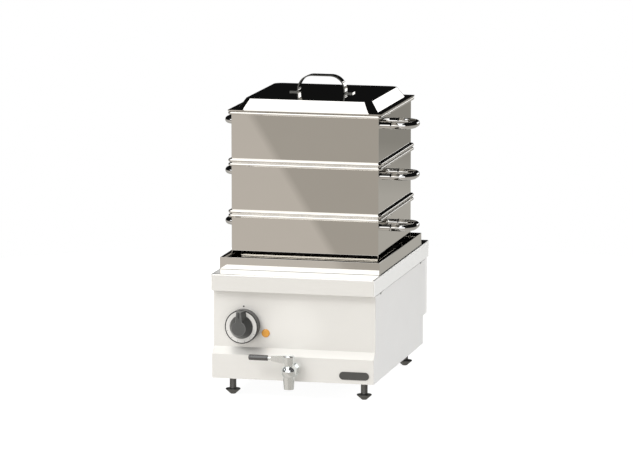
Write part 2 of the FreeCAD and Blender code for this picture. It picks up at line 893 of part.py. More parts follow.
def make_basket(name, level):
    body = new_body(name, (0, basket_middle, level))
    walls = new_sketch(body, "XY_Plane")
    draw_rectangle(walls, (-basket_half, -basket_half), (basket_half, basket_half))
    add_pad(body, walls, basket_height)
    add_fillet(body, basket_radius, is_upright)
    starts = (bead_offset, basket_height - bead_offset - bead_thickness)
    for start in starts:
        bead = new_sketch(body, "XY_Plane", start)
        draw_rounded(bead, (0, 0), bead_half, bead_half, bead_corner)
        add_pad(body, bead, bead_thickness)
    doc.recompute()
    levels = [start.value for start in starts] + [(start + bead_thickness).value for start in starts]

    def is_bead_rim(edge):
        outside = reach_from(edge, 0, 0) > (basket_half + bead_reach / 2).value
        return outside and any(is_level_at(edge, level_of_rim) for level_of_rim in levels)

    add_fillet(body, bead_round, is_bead_rim)
    inside = new_sketch(body, "XY_Plane")
    inner = basket_half - basket_wall
    draw_rectangle(inside, (-inner, -inner), (inner, inner))
    add_pocket(body, inside, reverse=True)
    keep(body)


# Basket floor: a perforated plate with a skirt that drops into whatever stands below

def make_floor(name, level):
    body = new_body(name, (0, basket_middle, level))
    skirt = new_sketch(body, "XY_Plane", -nest_reach)
    draw_rounded(skirt, (0, 0), nest_half, nest_half, nest_corner)
    add_pad(body, skirt, nest_reach + floor_level)
    plate = new_sketch(body, "XY_Plane", floor_level)
    plate_half = basket_half - basket_wall
    draw_rectangle(plate, (-plate_half, -plate_half), (plate_half, plate_half))
    add_pad(body, plate, floor_wall)
    inner = nest_half - floor_wall
    hollow = new_sketch(body, "XY_Plane", -nest_reach)
    draw_rounded(hollow, (0, 0), inner, inner, nest_corner - floor_wall)
    add_pocket(body, hollow, nest_reach + floor_level, reverse=True)
    start = -floor_hole_pitch * (floor_holes - 1) / 2
    hole = new_sketch(body, "XY_Plane", floor_level)
    draw_circle(hole, (start, start), floor_hole_radius)
    first = add_pocket(body, hole, hole_depth, both_ways=True)
    doc.recompute()
    grid = body.newObject("PartDesign::MultiTransform", name + "_grid")
    grid.Originals = [first]
    body.Tip = grid
    ways = []
    for axis in ("H_Axis", "V_Axis"):
        way = body.newObject("PartDesign::LinearPattern", name + "_" + axis.lower())
        way.Direction = (hole, [axis])
        way.Mode = "Spacing"
        bind(way, "Offset", floor_hole_pitch)
        bind(way, "Occurrences", floor_holes)
        ways.append(way)
    grid.Transformations = ways
    body.Tip = grid
    keep(body)


# Basket handle: a bent tube that stands out from the wall

def make_handle(name, side, level):
    rotation = Rotation(Vector(0, 0, 1), 0 if side > 0 else 180)
    body = new_body(name, (side * basket_half, basket_middle, level + handle_level), rotation)
    tube = new_sketch(body, "YZ_Plane")
    draw_circle(tube, (-handle_half_pitch, 0), handle_tube_radius)
    straight = handle_half_pitch - handle_bend
    knee = handle_reach - handle_bend
    spine = new_sketch(body, "XY_Plane")
    draw_route(spine, (0, -handle_half_pitch), [
        [(knee, -handle_half_pitch)],
        [(handle_reach, -straight), (knee, -straight)],
        [(handle_reach, straight)],
        [(knee, handle_half_pitch), (knee, straight)],
        [(0, handle_half_pitch)],
    ])
    add_pipe(body, tube, spine)
    keep(body)


# Lid: a flat edge, four sloping sides and a flat top, all one sheet

def make_lid(level):
    body = new_body("lid", (0, basket_middle, level))
    edge_plate = new_sketch(body, "XY_Plane")
    draw_rounded(edge_plate, (0, 0), bead_half, bead_half, lid_edge_corner)
    add_pad(body, edge_plate, lid_edge)
    low = new_sketch(body, "XY_Plane", lid_edge)
    draw_rounded(low, (0, 0), lid_foot_half, lid_foot_half, lid_foot_corner)
    high = new_sketch(body, "XY_Plane", lid_edge + lid_rise)
    draw_rounded(high, (0, 0), lid_top_half, lid_top_half, lid_top_corner)
    add_loft(body, "PartDesign::AdditiveLoft", low, high)
    inner_half = lid_top_half - lid_side_wall
    inner_low = new_sketch(body, "XY_Plane")
    draw_rounded(inner_low, (0, 0), lid_foot_half, lid_foot_half, lid_foot_corner)
    inner_high = new_sketch(body, "XY_Plane", lid_edge + lid_rise - lid_wall)
    draw_rounded(inner_high, (0, 0), inner_half, inner_half, lid_top_corner - lid_side_wall)
    add_loft(body, "PartDesign::SubtractiveLoft", inner_low, inner_high)
    keep(body)


# Lid ring: the frame below the lid that keeps it in place on a basket

def make_lid_ring(level):
    body = new_body("lid_ring", (0, basket_middle, level - nest_reach))
    inner = nest_half - floor_wall
    ring = new_sketch(body, "XY_Plane")
    draw_rounded(ring, (0, 0), nest_half, nest_half, nest_corner)
    draw_rounded(ring, (0, 0), inner, inner, nest_corner - floor_wall)
    add_pad(body, ring, nest_reach)
    keep(body)


# Lid handle: a strip bent into two feet and an arch

def make_lid_handle(level):
    body = new_body("lid_handle", (0, basket_middle, level + lid_edge + lid_rise))
    mid = grip_strip / 2
    rim = grip_half_span + grip_foot_length
    turn = grip_half_span + grip_foot_bend
    top = grip_height - mid
    shoulder = top - grip_bend
    flat_half = grip_half_span - grip_bend
    strip = new_sketch(body, "YZ_Plane", -rim)
    draw_rectangle(strip, (-grip_width / 2, 0), (grip_width / 2, grip_strip))
    spine = new_sketch(body, "XZ_Plane")
    draw_route(spine, (-rim, mid), [
        [(-turn, mid)],
        [(-grip_half_span, mid + grip_foot_bend), (-turn, mid + grip_foot_bend)],
        [(-grip_half_span, shoulder)],
        [(-flat_half, top), (-flat_half, shoulder)],
        [(flat_half, top)],
        [(grip_half_span, shoulder), (flat_half, shoulder)],
        [(grip_half_span, mid + grip_foot_bend)],
        [(turn, mid), (turn, mid + grip_foot_bend)],
        [(rim, mid)],
    ])
    add_pipe(body, strip, spine)
    keep(body)


# Knob: a dial drum, its face plate, a winged grip and the shaft that carries them
# Their own Z axis points out of the panel

knob_spot = (knob_x, panel_front, knob_axis_level)


def make_dial():
    bore = shaft_radius + run_clearance
    drum = new_body("dial_drum", knob_spot, towards_front)
    back = dial_depth - dial_plate_height
    profile = new_sketch(drum, "XZ_Plane")
    draw_outline(profile, [
        (bore, back - dial_wall), (dial_radius - dial_wall, back - dial_wall),
        (dial_radius - dial_wall, dial_gap), (dial_radius, dial_gap),
        (dial_radius, dial_depth), (dial_radius - dial_wall, dial_depth),
        (dial_radius - dial_wall, back), (bore, back),
    ])
    add_revolution(drum, profile)
    keep(drum)
    plate = new_body("dial_plate", knob_spot, towards_front)
    ring = new_sketch(plate, "XY_Plane", back)
    draw_circle(ring, (0, 0), dial_radius - dial_wall)
    draw_circle(ring, (0, 0), bore)
    add_pad(plate, ring, dial_plate_height)
    keep(plate)


# a disc with a wing on one side, drawn smaller by an inset
def draw_grip(sketch, radius, root_half, tip_half, inset=0):
    radius = radius - inset
    root_half = root_half - inset
    tip_half = tip_half - inset
    reach = wing_reach - inset
    root_reach = root(radius * radius - root_half * root_half)
    middle = (0, 0)
    draw_route(sketch, (root_half, root_reach), [
        [(tip_half, reach)],
        [(-tip_half, reach)],
        [(-root_half, root_reach)],
        [(0, -radius), middle],
        [(root_half, root_reach), middle],
    ], closed=True)


def make_knob():
    body = new_body("control_knob", knob_spot, towards_front)
    top = dial_depth + knob_height
    base = new_sketch(body, "XY_Plane", dial_depth)
    draw_grip(base, knob_base_radius, wing_base_half, wing_base_tip_half)
    shoulder = new_sketch(body, "XY_Plane", top - knob_edge)
    draw_grip(shoulder, knob_face_radius, wing_face_half, wing_face_tip_half)
    face = new_sketch(body, "XY_Plane", top)
    draw_grip(face, knob_face_radius, wing_face_half, wing_face_tip_half, knob_edge)
    add_loft(body, "PartDesign::AdditiveLoft", base, shoulder)
    add_loft(body, "PartDesign::AdditiveLoft", shoulder, face)
    slot = new_sketch(body, "XY_Plane", top)
    draw_rectangle(slot, (-slot_width / 2, wing_reach - slot_length),
                   (slot_width / 2, wing_reach + slot_depth))
    add_pocket(body, slot, slot_depth)
    socket = new_sketch(body, "XY_Plane", dial_depth)
    draw_circle(socket, (0, 0), shaft_radius + run_clearance)
    add_pocket(body, socket, shaft_socket, reverse=True)
    keep(body)


def make_thermostat():
    start = thermostat_depth / 2
    reach = start + sheet_wall + dial_depth + shaft_socket - seat_gap
    x, y, z = knob_x, panel_back, knob_axis_level
    keep(cylinder("thermostat_shaft", shaft_radius, reach,
                  (x, panel_back + start, z), towards_front), "thermostat_shaft")
    half = thermostat_size / 2
    case = box("thermostat_case", (x - half, y, z - half),
               (thermostat_size, thermostat_depth, thermostat_size))
    bush = cylinder("thermostat_bush", bush_radius, sheet_wall * 2,
                    (x, panel_back, z), towards_front)
    whole = fuse("thermostat_solid", [case, bush])
    bore = cylinder("thermostat_bore", shaft_radius + run_clearance,
                    start + sheet_wall * 2 + seat_gap, (x, panel_back + start + seat_gap, z), towards_front)
    keep(cut("thermostat_body", whole, bore), "thermostat_body")


# Lamp: a low dome in front of the panel and a barrel behind it

def make_lamp():
    spot = (lamp_x, panel_front, cabinet_bottom + lamp_level)
    lens = new_body("lamp_lens", spot, towards_front)
    profile = new_sketch(lens, "XZ_Plane")
    draw_route(profile, (0, -sheet_wall), [
        [(lamp_barrel_radius, -sheet_wall)], [(lamp_barrel_radius, 0)], [(lamp_radius, 0)],
        [(lamp_radius, lamp_edge)], [(lamp_radius - lamp_edge, lamp_dome)], [(0, lamp_dome)],
        [(0, -sheet_wall)],
    ], closed=True)
    add_revolution(lens, profile)

    def is_dome_rim(edge):
        return abs(edge.BoundBox.ZMin - lamp_dome.value) < near and edge.BoundBox.XLength > near

    add_fillet(lens, lamp_edge, is_dome_rim)
    keep(lens)
    keep(cylinder("lamp_body", lamp_barrel_radius + sheet_wall, lamp_barrel_length,
                  (lamp_x, panel_back, cabinet_bottom + lamp_level), along_back), "lamp_body")


def make_knob_index():
    keep(cylinder("knob_index", index_radius, seat_gap,
                  (knob_x, panel_front, knob_axis_level + index_offset), towards_front), "knob_index")


# Badge: a bare plate with round ends

def make_badge():
    body = new_body("badge_plate", (badge_x, front, cabinet_bottom + badge_level))
    plate = new_sketch(body, "XZ_Plane")
    half = badge_height / 2
    end = badge_length / 2 - half
    draw_route(plate, (-end, -half), [
        [(end, -half)],
        [(badge_length / 2, 0), (end, 0)],
        [(end, half), (end, 0)],
        [(-end, half)],
        [(-badge_length / 2, 0), (-end, 0)],
        [(-end, -half), (-end, 0)],
    ], closed=True)
    add_pad(body, plate, badge_thickness)
    keep(body)


# Drain valve: the body carries a ball that a lever turns over the outlet

valve_spot = (0, valve_axis_front, valve_axis_level)


def make_valve_body():
    x, y, z = valve_spot
    reach = valve_offset
    pieces = [
        sphere("valve_bulb", valve_ball_radius, valve_spot),
        cylinder("valve_barrel", valve_barrel_radius, reach, valve_spot, along_back),
        cylinder("valve_collar", valve_collar_radius, valve_collar_length,
                 (x, front - valve_collar_length, z), along_back),
        cylinder("valve_stub", valve_stub_radius, valve_stub_length, (x, front, z), along_back),
        cylinder("valve_bonnet", core_radius, cap_start - seat_gap, valve_spot),
        cylinder("valve_outlet", spout_top_radius, spout_start, (x, y, z - spout_start)),
    ]
    whole = fuse("valve_solid", pieces)
    hollows = fuse("valve_hollows", [
        sphere("valve_chamber", core_radius + seat_gap, valve_spot),
        cylinder("valve_inlet", valve_bore, reach + valve_stub_length, valve_spot, along_back),
        cylinder("valve_drop", valve_bore, spout_start, (x, y, z - spout_start)),
        cylinder("valve_gland", stem_radius + run_clearance, cap_start, valve_spot),
    ])
    keep(cut("valve_body", whole, hollows), "valve_body")


def make_spout():
    x, y, z = valve_spot
    end = z - spout_start - spout_length
    outside = cone("spout_outside", spout_end_radius, spout_top_radius, spout_length, (x, y, end))
    bore = cylinder("spout_hollow", spout_bore, spout_length, (x, y, end))
    keep(cut("valve_spout", outside, bore), "valve_spout")


def make_valve_core():
    x, y, z = valve_spot
    core = sphere("core_solid", core_radius, valve_spot)
    passages = fuse("core_passages", [
        cylinder("core_side", valve_bore, core_radius, valve_spot, along_x),
        cylinder("core_drop", valve_bore, core_radius, (x, y, z - core_radius)),
        cylinder("core_socket", stem_radius + run_clearance, core_radius, (x, y, z + core_radius / 2)),
    ])
    keep(cut("valve_ball", core, passages), "valve_ball")
    start = core_radius / 2 + seat_gap
    keep(cylinder("valve_stem", stem_radius, cap_start + cap_height / 2 - start,
                  (x, y, z + start)), "valve_stem")


def make_lever():
    body = new_body("valve_lever", (0, valve_axis_front, valve_axis_level + cap_start))
    disc = new_sketch(body, "XY_Plane")
    draw_circle(disc, (0, 0), cap_radius)
    add_pad(body, disc, cap_height)

    def is_cap_rim(edge):
        return is_level_at(edge, cap_height.value)

    add_fillet(body, cap_edge, is_cap_rim)
    middle = cap_height / 2 + grip_rise
    arm = new_sketch(body, "XZ_Plane")
    draw_outline(arm, [
        (-cap_radius / 2, grip_rise), (-cap_radius / 2, cap_height - grip_rise),
        (-arm_root, cap_height - grip_rise), (-arm_reach, middle + arm_tip_height / 2),
        (-arm_reach, middle - arm_tip_height / 2), (-arm_root, grip_rise),
    ])
    add_pad(body, arm, arm_width, both_ways=True)
    rod = new_sketch(body, "YZ_Plane", -arm_reach)
    draw_circle(rod, (0, middle), neck_radius)
    add_pad(body, rod, grip_start - arm_reach + grip_socket, reverse=True)
    socket = new_sketch(body, "XY_Plane")
    draw_circle(socket, (0, 0), stem_radius + run_clearance)
    add_pocket(body, socket, cap_height / 2 + seat_gap, reverse=True)
    keep(body)


def make_lever_grip():
    level = valve_axis_level + cap_start + cap_height / 2 + grip_rise
    body = new_body("valve_grip", (-grip_start, valve_axis_front, level))
    round_bar = new_sketch(body, "YZ_Plane")
    draw_circle(round_bar, (0, 0), grip_radius)
    add_pad(body, round_bar, grip_length, reverse=True)
    add_fillet(body, grip_edge, lambda edge: edge.BoundBox.XLength < near)
    bore = new_sketch(body, "YZ_Plane")
    draw_circle(bore, (0, 0), neck_radius + run_clearance)
    add_pocket(body, bore, grip_socket + seat_gap)
    keep(body)


def make_valve_locknut():
    nut_start = front + sheet_wall
    nut = cylinder("locknut_solid", valve_collar_radius, valve_collar_length,
                   (0, nut_start, valve_axis_level), along_back)
    bore = cylinder("locknut_bore", valve_stub_radius + run_clearance, valve_collar_length,
                    (0, nut_start, valve_axis_level), along_back)
    keep(cut("valve_locknut", nut, bore), "valve_locknut")


# Drain pipe: down from the tank and forward to the valve

def make_drain_pipe():
    start = front + sheet_wall + valve_collar_length + seat_gap
    run = front + pipe_entry - start
    body = new_body("drain_pipe", (0, start, valve_axis_level))
    ring = new_sketch(body, "XZ_Plane")
    draw_circle(ring, (0, 0), pipe_radius)
    draw_circle(ring, (0, 0), pipe_bore)
    spine = new_sketch(body, "YZ_Plane")
    draw_route(spine, (0, 0), [
        [(run - pipe_bend, 0)],
        [(run, pipe_bend), (run - pipe_bend, pipe_bend)],
        [(run, pipe_rise)],
    ])
    add_pipe(body, ring, spine)
    keep(body)


# Heating elements: two hairpins through the tank's front wall, held by one flange

def make_element(name, x):
    tank_front_inner = basket_middle - tank_half
    start = tank_front_face - element_flange_thickness - element_tail
    length = tank_front_inner + element_length - start
    body = new_body(name, (x, start, element_axis_level))
    tube = new_sketch(body, "XZ_Plane")
    draw_circle(tube, (-element_half_gap, 0), element_radius)
    spine = new_sketch(body, "XY_Plane")
    draw_route(spine, (-element_half_gap, 0), [
        [(-element_half_gap, length - element_half_gap)],
        [(0, length), (0, length - element_half_gap)],
        [(element_half_gap, length - element_half_gap), (0, length - element_half_gap)],
        [(element_half_gap, 0)],
    ])
    add_pipe(body, tube, spine)
    collars = new_sketch(body, "XZ_Plane", -element_tail)
    for side in (-1, 1):
        draw_circle(collars, (side * element_half_gap, 0), element_collar_radius)
    add_pad(body, collars, element_collar_length)
    keep(body)


def make_element_flange():
    body = new_body("element_flange", (0, tank_front_face, element_axis_level))
    plate = new_sketch(body, "XZ_Plane")
    half = element_x + element_half_gap + element_flange_margin
    draw_rectangle(plate, (-half, -element_flange_height / 2), (half, element_flange_height / 2))
    for x in element_legs():
        draw_circle(plate, (x, 0), element_radius + seat_gap)
    add_pad(body, plate, element_flange_thickness)
    keep(body)


# Wiring pieces behind the control panel

def make_contactor():
    floor = cabinet_bottom + sheet_wall
    start = panel_back + wiring_front
    low = box("contactor_foot", (contactor_x, start, floor),
              (contactor_width, contactor_depth, contactor_foot))
    block = box("contactor_block", (contactor_x, start + contactor_step, floor + contactor_foot),
                (contactor_width, contactor_depth - contactor_step * 2, contactor_height - contactor_foot))
    keep(fuse("contactor", [low, block]), "contactor")


def make_terminal_block():
    body = new_body("terminal_block", (terminal_x, panel_back + wiring_front,
                                       cabinet_bottom + sheet_wall))
    profile = new_sketch(body, "YZ_Plane", -terminal_length / 2)
    low, high = terminal_shoulder, terminal_depth - terminal_shoulder
    draw_outline(profile, [
        (0, 0), (terminal_depth, 0), (terminal_depth, terminal_step), (high, terminal_step),
        (high, terminal_height), (low, terminal_height), (low, terminal_step), (0, terminal_step),
    ])
    add_pad(body, profile, terminal_length)
    screw = new_sketch(body, "XY_Plane", terminal_height)
    first = -terminal_way * (terminal_ways - 1) / 2
    draw_circle(screw, (first, terminal_depth / 2), screw_head_radius)
    well = add_pocket(body, screw, terminal_well)
    doc.recompute()
    ways = body.newObject("PartDesign::LinearPattern", "terminal_ways")
    ways.Originals = [well]
    ways.Direction = (screw, ["H_Axis"])
    ways.Mode = "Spacing"
    bind(ways, "Offset", terminal_way)
    bind(ways, "Occurrences", terminal_ways)
    body.Tip = ways
    keep(body)


def make_limiter():
    level = element_axis_level + element_flange_height / 2 + limiter_radius + element_flange_margin
    disc = cylinder("limiter_disc", limiter_radius, limiter_head,
                    (limiter_offset, tank_front_face, level), towards_front)
    stem = cylinder("limiter_stem", limiter_stem_radius, limiter_length,
                    (limiter_offset, tank_front_face, level), towards_front)
    keep(fuse("safety_thermostat", [disc, stem]), "safety_thermostat")


# Cable gland: a hollow screwed sleeve through the rear panel, with its nut inside

def make_gland():
    level = cabinet_bottom + gland_level
    inner_face = lower_rear_face - sheet_wall
    inner_end = (gland_x, inner_face - gland_thread_reach, level)
    sleeve = cylinder("gland_thread", gland_thread_radius, gland_thread_reach + sheet_wall,
                      inner_end, along_back)
    head = cylinder("gland_head", gland_body_radius, gland_head_length,
                    (gland_x, lower_rear_face, level), along_back)
    dome = cylinder("gland_dome", gland_dome_radius, gland_length,
                    (gland_x, lower_rear_face, level), along_back)
    whole = fuse("gland_solid", [sleeve, head, dome])
    bore = cylinder("gland_hollow", gland_bore, gland_thread_reach + sheet_wall + gland_length,
                    inner_end, along_back)
    keep(cut("cable_gland", whole, bore), "cable_gland")
    nut = cylinder("gland_nut_solid", gland_body_radius, gland_nut_length,
                   (gland_x, inner_face - gland_nut_length, level), along_back)
    nut_bore = cylinder("gland_nut_hollow", gland_thread_radius + run_clearance, gland_nut_length,
                        (gland_x, inner_face - gland_nut_length, level), along_back)
    keep(cut("gland_nut", nut, nut_bore), "gland_nut")


# Screws: a low round head and a shank, all in one group

def make_screw(name, spot, rotation):
    head = cone(name + "_head", screw_head_radius, screw_face_radius, screw_head_height, (0, 0, 0))
    shank = cylinder(name + "_shank", screw_radius, screw_length, (0, 0, -screw_length))
    whole = fuse(name, [head, shank])
    return place(whole, spot, rotation)


def make_screws():
    screws = []
    for side in (-1, 1):
        for y in (front + screw_front, front + screw_front + screw_pitch):
            rotation = Rotation(Vector(0, 1, 0), 90 * side)
            spot = (side * panel_half, y, side_screw_level)
            screws.append(make_screw("side_screw", spot, rotation))
    for x, level in rear_screw_spots():
        rotation = Rotation(Vector(1, 0, 0), -90)
        screws.append(make_screw("rear_screw", (x, rear_face, level), rotation))
    keep(group("panel_screws", screws), "panel_screws")


def make_everything():
    make_worktop()
    make_collar()
    make_gasket()
    make_tank_flange()
    make_tank()
    make_side_panel("side_panel_left", -panel_half)
    make_side_panel("side_panel_right", panel_half - sheet_wall)
    make_rear()
    make_front()
    make_base()
    make_foot_bushes()
    for name, (x, y) in zip(foot_names, foot_spots()):
        make_foot(name, x, y)
    make_badge()
    make_dial()
    make_knob()
    make_thermostat()
    make_knob_index()
    make_lamp()
    make_valve_body()
    make_spout()
    make_valve_core()
    make_lever()
    make_lever_grip()
    make_valve_locknut()
    make_drain_pipe()
    make_element("heating_element_left", -element_x)
    make_element("heating_element_right", element_x)
    make_element_flange()
    make_contactor()
    make_terminal_block()
    make_limiter()
    make_gland()
    make_screws()
    level = basket_seat
    for tier in ("bottom", "middle", "top"):
        make_basket(tier + "_basket", level)
        make_floor(tier + "_basket_floor", level)
        make_handle(tier + "_handle_left", -1, level)
        make_handle(tier + "_handle_right", 1, level)
        level = level + basket_height
    make_lid(level)
    make_lid_ring(level)
    make_lid_handle(level)


def check_everything():
    for thing in doc.Objects:
        for word in ("Invalid", "Error"):
            if word in thing.State:
                raise RuntimeError("%s is %s" % (thing.Label, word))
    for part in parts:
        if part.Shape.isNull() or not part.Shape.isValid():
            raise RuntimeError("%s has no valid shape" % part.Label)


make_everything()
doc.recompute()
check_everything()
os.makedirs("parts", exist_ok=True)
for part in parts:
    part.Shape.exportStep(os.path.join("parts", part.Label + ".step"))
    print(part.Label, len(part.Shape.Solids), round(part.Shape.Volume))
print(len(parts), "parts written")
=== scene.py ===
import math
import bpy
import bmesh
from mathutils import Matrix, Vector


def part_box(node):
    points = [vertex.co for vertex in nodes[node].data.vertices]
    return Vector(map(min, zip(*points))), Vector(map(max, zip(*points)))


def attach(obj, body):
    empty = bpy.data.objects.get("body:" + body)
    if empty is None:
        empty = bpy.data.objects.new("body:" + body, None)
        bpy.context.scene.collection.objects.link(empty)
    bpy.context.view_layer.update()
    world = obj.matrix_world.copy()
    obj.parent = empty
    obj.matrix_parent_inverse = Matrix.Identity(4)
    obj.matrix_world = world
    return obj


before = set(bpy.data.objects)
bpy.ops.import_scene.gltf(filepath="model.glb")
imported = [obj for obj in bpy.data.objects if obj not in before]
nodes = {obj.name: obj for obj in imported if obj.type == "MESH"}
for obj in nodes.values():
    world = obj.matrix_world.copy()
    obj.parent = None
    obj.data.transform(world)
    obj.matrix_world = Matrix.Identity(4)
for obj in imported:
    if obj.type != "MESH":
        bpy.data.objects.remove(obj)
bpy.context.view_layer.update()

# An electric food steamer on screw feet: water cabinet, three baskets and a lid.
# Metres, +X right, +Y back, +Z up, origin on the table under the middle.

tierNames = ("bottom", "middle", "top")
scene = bpy.context.scene
scene.view_settings.view_transform = "Standard"


# places that the finishes and the small pieces take from the frame

def middleOf(node):
    low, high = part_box(node)
    return (low + high) / 2


worktopLow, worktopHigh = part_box("worktop")
collarLow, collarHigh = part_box("tank_collar")
strapLow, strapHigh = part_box("lid_handle")
knobLow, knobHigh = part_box("control_knob")
knobAxis = (middleOf("control_knob").x, middleOf("dial_plate").z)
stackMiddle = middleOf("bottom_basket").y
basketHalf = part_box("bottom_handle_right")[0].x   # the handles stand on the basket's outer face


# node tree helpers

mixSockets = {"factor": 0, "first": 6, "second": 7, "result": 2}   # a Mix node's colour sockets


def addNode(tree, kind, **settings):
    node = tree.nodes.new(kind)
    for key, value in settings.items():
        setattr(node, key, value)
    return node


def feed(tree, source, socket):
    if isinstance(source, bpy.types.NodeSocket):
        tree.links.new(source, socket)
    else:
        socket.default_value = source


def calc(tree, operation, a, b=0.0):
    node = addNode(tree, "ShaderNodeMath", operation=operation)
    feed(tree, a, node.inputs[0])
    feed(tree, b, node.inputs[1])
    return node.outputs[0]


def remap(tree, value, fromLow, fromHigh, toLow, toHigh):
    node = addNode(tree, "ShaderNodeMapRange")
    for socket, item in zip(node.inputs, (value, fromLow, fromHigh, toLow, toHigh)):
        feed(tree, item, socket)
    return node.outputs[0]


def opaque(colour):
    return (*colour, 1.0)


def mixColour(tree, factor, first, second):
    node = addNode(tree, "ShaderNodeMix", data_type="RGBA")
    feed(tree, factor, node.inputs[mixSockets["factor"]])
    feed(tree, first, node.inputs[mixSockets["first"]])
    feed(tree, second, node.inputs[mixSockets["second"]])
    return node.outputs[mixSockets["result"]]


def noiseAt(tree, vector, scale, detail):
    node = addNode(tree, "ShaderNodeTexNoise")
    feed(tree, vector, node.inputs["Vector"])
    feed(tree, scale, node.inputs["Scale"])
    feed(tree, detail, node.inputs["Detail"])
    return node.outputs["Fac"]


def stretched(tree, vector, scale):
    node = addNode(tree, "ShaderNodeVectorMath", operation="MULTIPLY")
    feed(tree, vector, node.inputs[0])
    feed(tree, scale, node.inputs[1])
    return node.outputs[0]


def splitAxes(tree, coordinates):
    split = addNode(tree, "ShaderNodeSeparateXYZ")
    feed(tree, addNode(tree, "ShaderNodeTexCoord").outputs[coordinates], split.inputs[0])
    return dict(zip("xyz", split.outputs))


def newGroup(name, inputs):
    tree = bpy.data.node_groups.new(name, "ShaderNodeTree")
    for label, value in inputs.items():
        kind = "NodeSocketVector" if isinstance(value, tuple) else "NodeSocketFloat"
        socket = tree.interface.new_socket(label, in_out="INPUT", socket_type=kind)
        socket.default_value = value
    for label in ("Height", "Roughness", "Marks"):
        tree.interface.new_socket(label, in_out="OUTPUT", socket_type="NodeSocketFloat")
    return tree, tree.nodes.new("NodeGroupInput"), tree.nodes.new("NodeGroupOutput")


# effects that several finishes share

noiseSpan = (0.3, 0.7)   # most of a noise's values lie between these
marksSpan = (0.35, 0.65)
sheetNoise = {"grainDetail": 4.0, "rippleDetail": 1.0, "marksScale": (9.0, 9.0, 14.0),
              "marksDetail": 6.0, "grainShare": 0.45, "marksShare": 0.55, "bumpReach": 0.001}
mouldNoise = {"stippleDetail": 2.0, "marksScale": 38.0, "marksDetail": 4.0, "bumpReach": 0.0004}


def buildSheetSurface():
    # rolled sheet: fine grain lines, slow ripples and faint wiping marks
    tree, start, end = newGroup("sheetSurface", {
        "Grain Scale": (40.0, 40.0, 900.0), "Grain Depth": 0.4,
        "Ripple Scale": 5.0, "Ripple Depth": 0.5, "Rough Low": 0.1, "Rough High": 0.2})
    place = addNode(tree, "ShaderNodeTexCoord").outputs["Object"]
    grain = noiseAt(tree, stretched(tree, place, start.outputs["Grain Scale"]), 1.0,
                    sheetNoise["grainDetail"])
    ripple = noiseAt(tree, place, start.outputs["Ripple Scale"], sheetNoise["rippleDetail"])
    marks = noiseAt(tree, stretched(tree, place, sheetNoise["marksScale"]), 1.0,
                    sheetNoise["marksDetail"])
    height = calc(tree, "ADD",
                  calc(tree, "MULTIPLY", grain, start.outputs["Grain Depth"]),
                  calc(tree, "MULTIPLY", ripple, start.outputs["Ripple Depth"]))
    spread = calc(tree, "ADD",
                  calc(tree, "MULTIPLY", grain, sheetNoise["grainShare"]),
                  calc(tree, "MULTIPLY", marks, sheetNoise["marksShare"]))
    rough = remap(tree, spread, *noiseSpan, start.outputs["Rough Low"], start.outputs["Rough High"])
    feed(tree, height, end.inputs["Height"])
    feed(tree, rough, end.inputs["Roughness"])
    feed(tree, marks, end.inputs["Marks"])
    return tree


def buildMouldSurface():
    # moulded plastic and castings: a fine even stipple and soft blotches
    tree, start, end = newGroup("mouldSurface", {
        "Stipple Scale": 1800.0, "Rough Low": 0.35, "Rough High": 0.5})
    place = addNode(tree, "ShaderNodeTexCoord").outputs["Object"]
    stipple = noiseAt(tree, place, start.outputs["Stipple Scale"], mouldNoise["stippleDetail"])
    marks = noiseAt(tree, place, mouldNoise["marksScale"], mouldNoise["marksDetail"])
    rough = remap(tree, marks, *noiseSpan, start.outputs["Rough Low"], start.outputs["Rough High"])
    feed(tree, stipple, end.inputs["Height"])
    feed(tree, rough, end.inputs["Roughness"])
    feed(tree, marks, end.inputs["Marks"])
    return tree


sheetSurface = buildSheetSurface()
mouldSurface = buildMouldSurface()


def startMaterial(name, metallic):
    material = bpy.data.materials.new(name)
    material.use_nodes = True
    tree = material.node_tree
    shader = tree.nodes["Principled BSDF"]
    shader.inputs["Metallic"].default_value = metallic
    return material, tree, shader


def addBump(tree, shader, height, strength, reach):
    bump = addNode(tree, "ShaderNodeBump")
    bump.inputs["Strength"].default_value = strength
    bump.inputs["Distance"].default_value = reach
    feed(tree, height, bump.inputs["Height"])
    feed(tree, bump.outputs["Normal"], shader.inputs["Normal"])


def sheetParts(tree, look):
    # colour, roughness and height of one sheet look
    group = addNode(tree, "ShaderNodeGroup", node_tree=sheetSurface)
    group.inputs["Grain Scale"].default_value = look["grain"]
    group.inputs["Grain Depth"].default_value = look["grainDepth"]
    group.inputs["Ripple Scale"].default_value = look["ripple"]
    group.inputs["Ripple Depth"].default_value = look["rippleDepth"]
    group.inputs["Rough Low"].default_value = look["rough"][0]
    group.inputs["Rough High"].default_value = look["rough"][1]
    fade = remap(tree, group.outputs["Marks"], *marksSpan, 0.0, 1.0)
    colour = mixColour(tree, fade, opaque(look["colour"]), opaque(look["marked"]))
    height = calc(tree, "MULTIPLY", group.outputs["Height"], look["bump"])
    return colour, group.outputs["Roughness"], height


def sheetMaterial(name):
    look = steelLooks[name]
    material, tree, shader = startMaterial(name, look["metallic"])
    colour, rough, height = sheetParts(tree, look)
    feed(tree, colour, shader.inputs["Base Color"])
    feed(tree, rough, shader.inputs["Roughness"])
    addBump(tree, shader, height, 1.0, sheetNoise["bumpReach"])
    return material


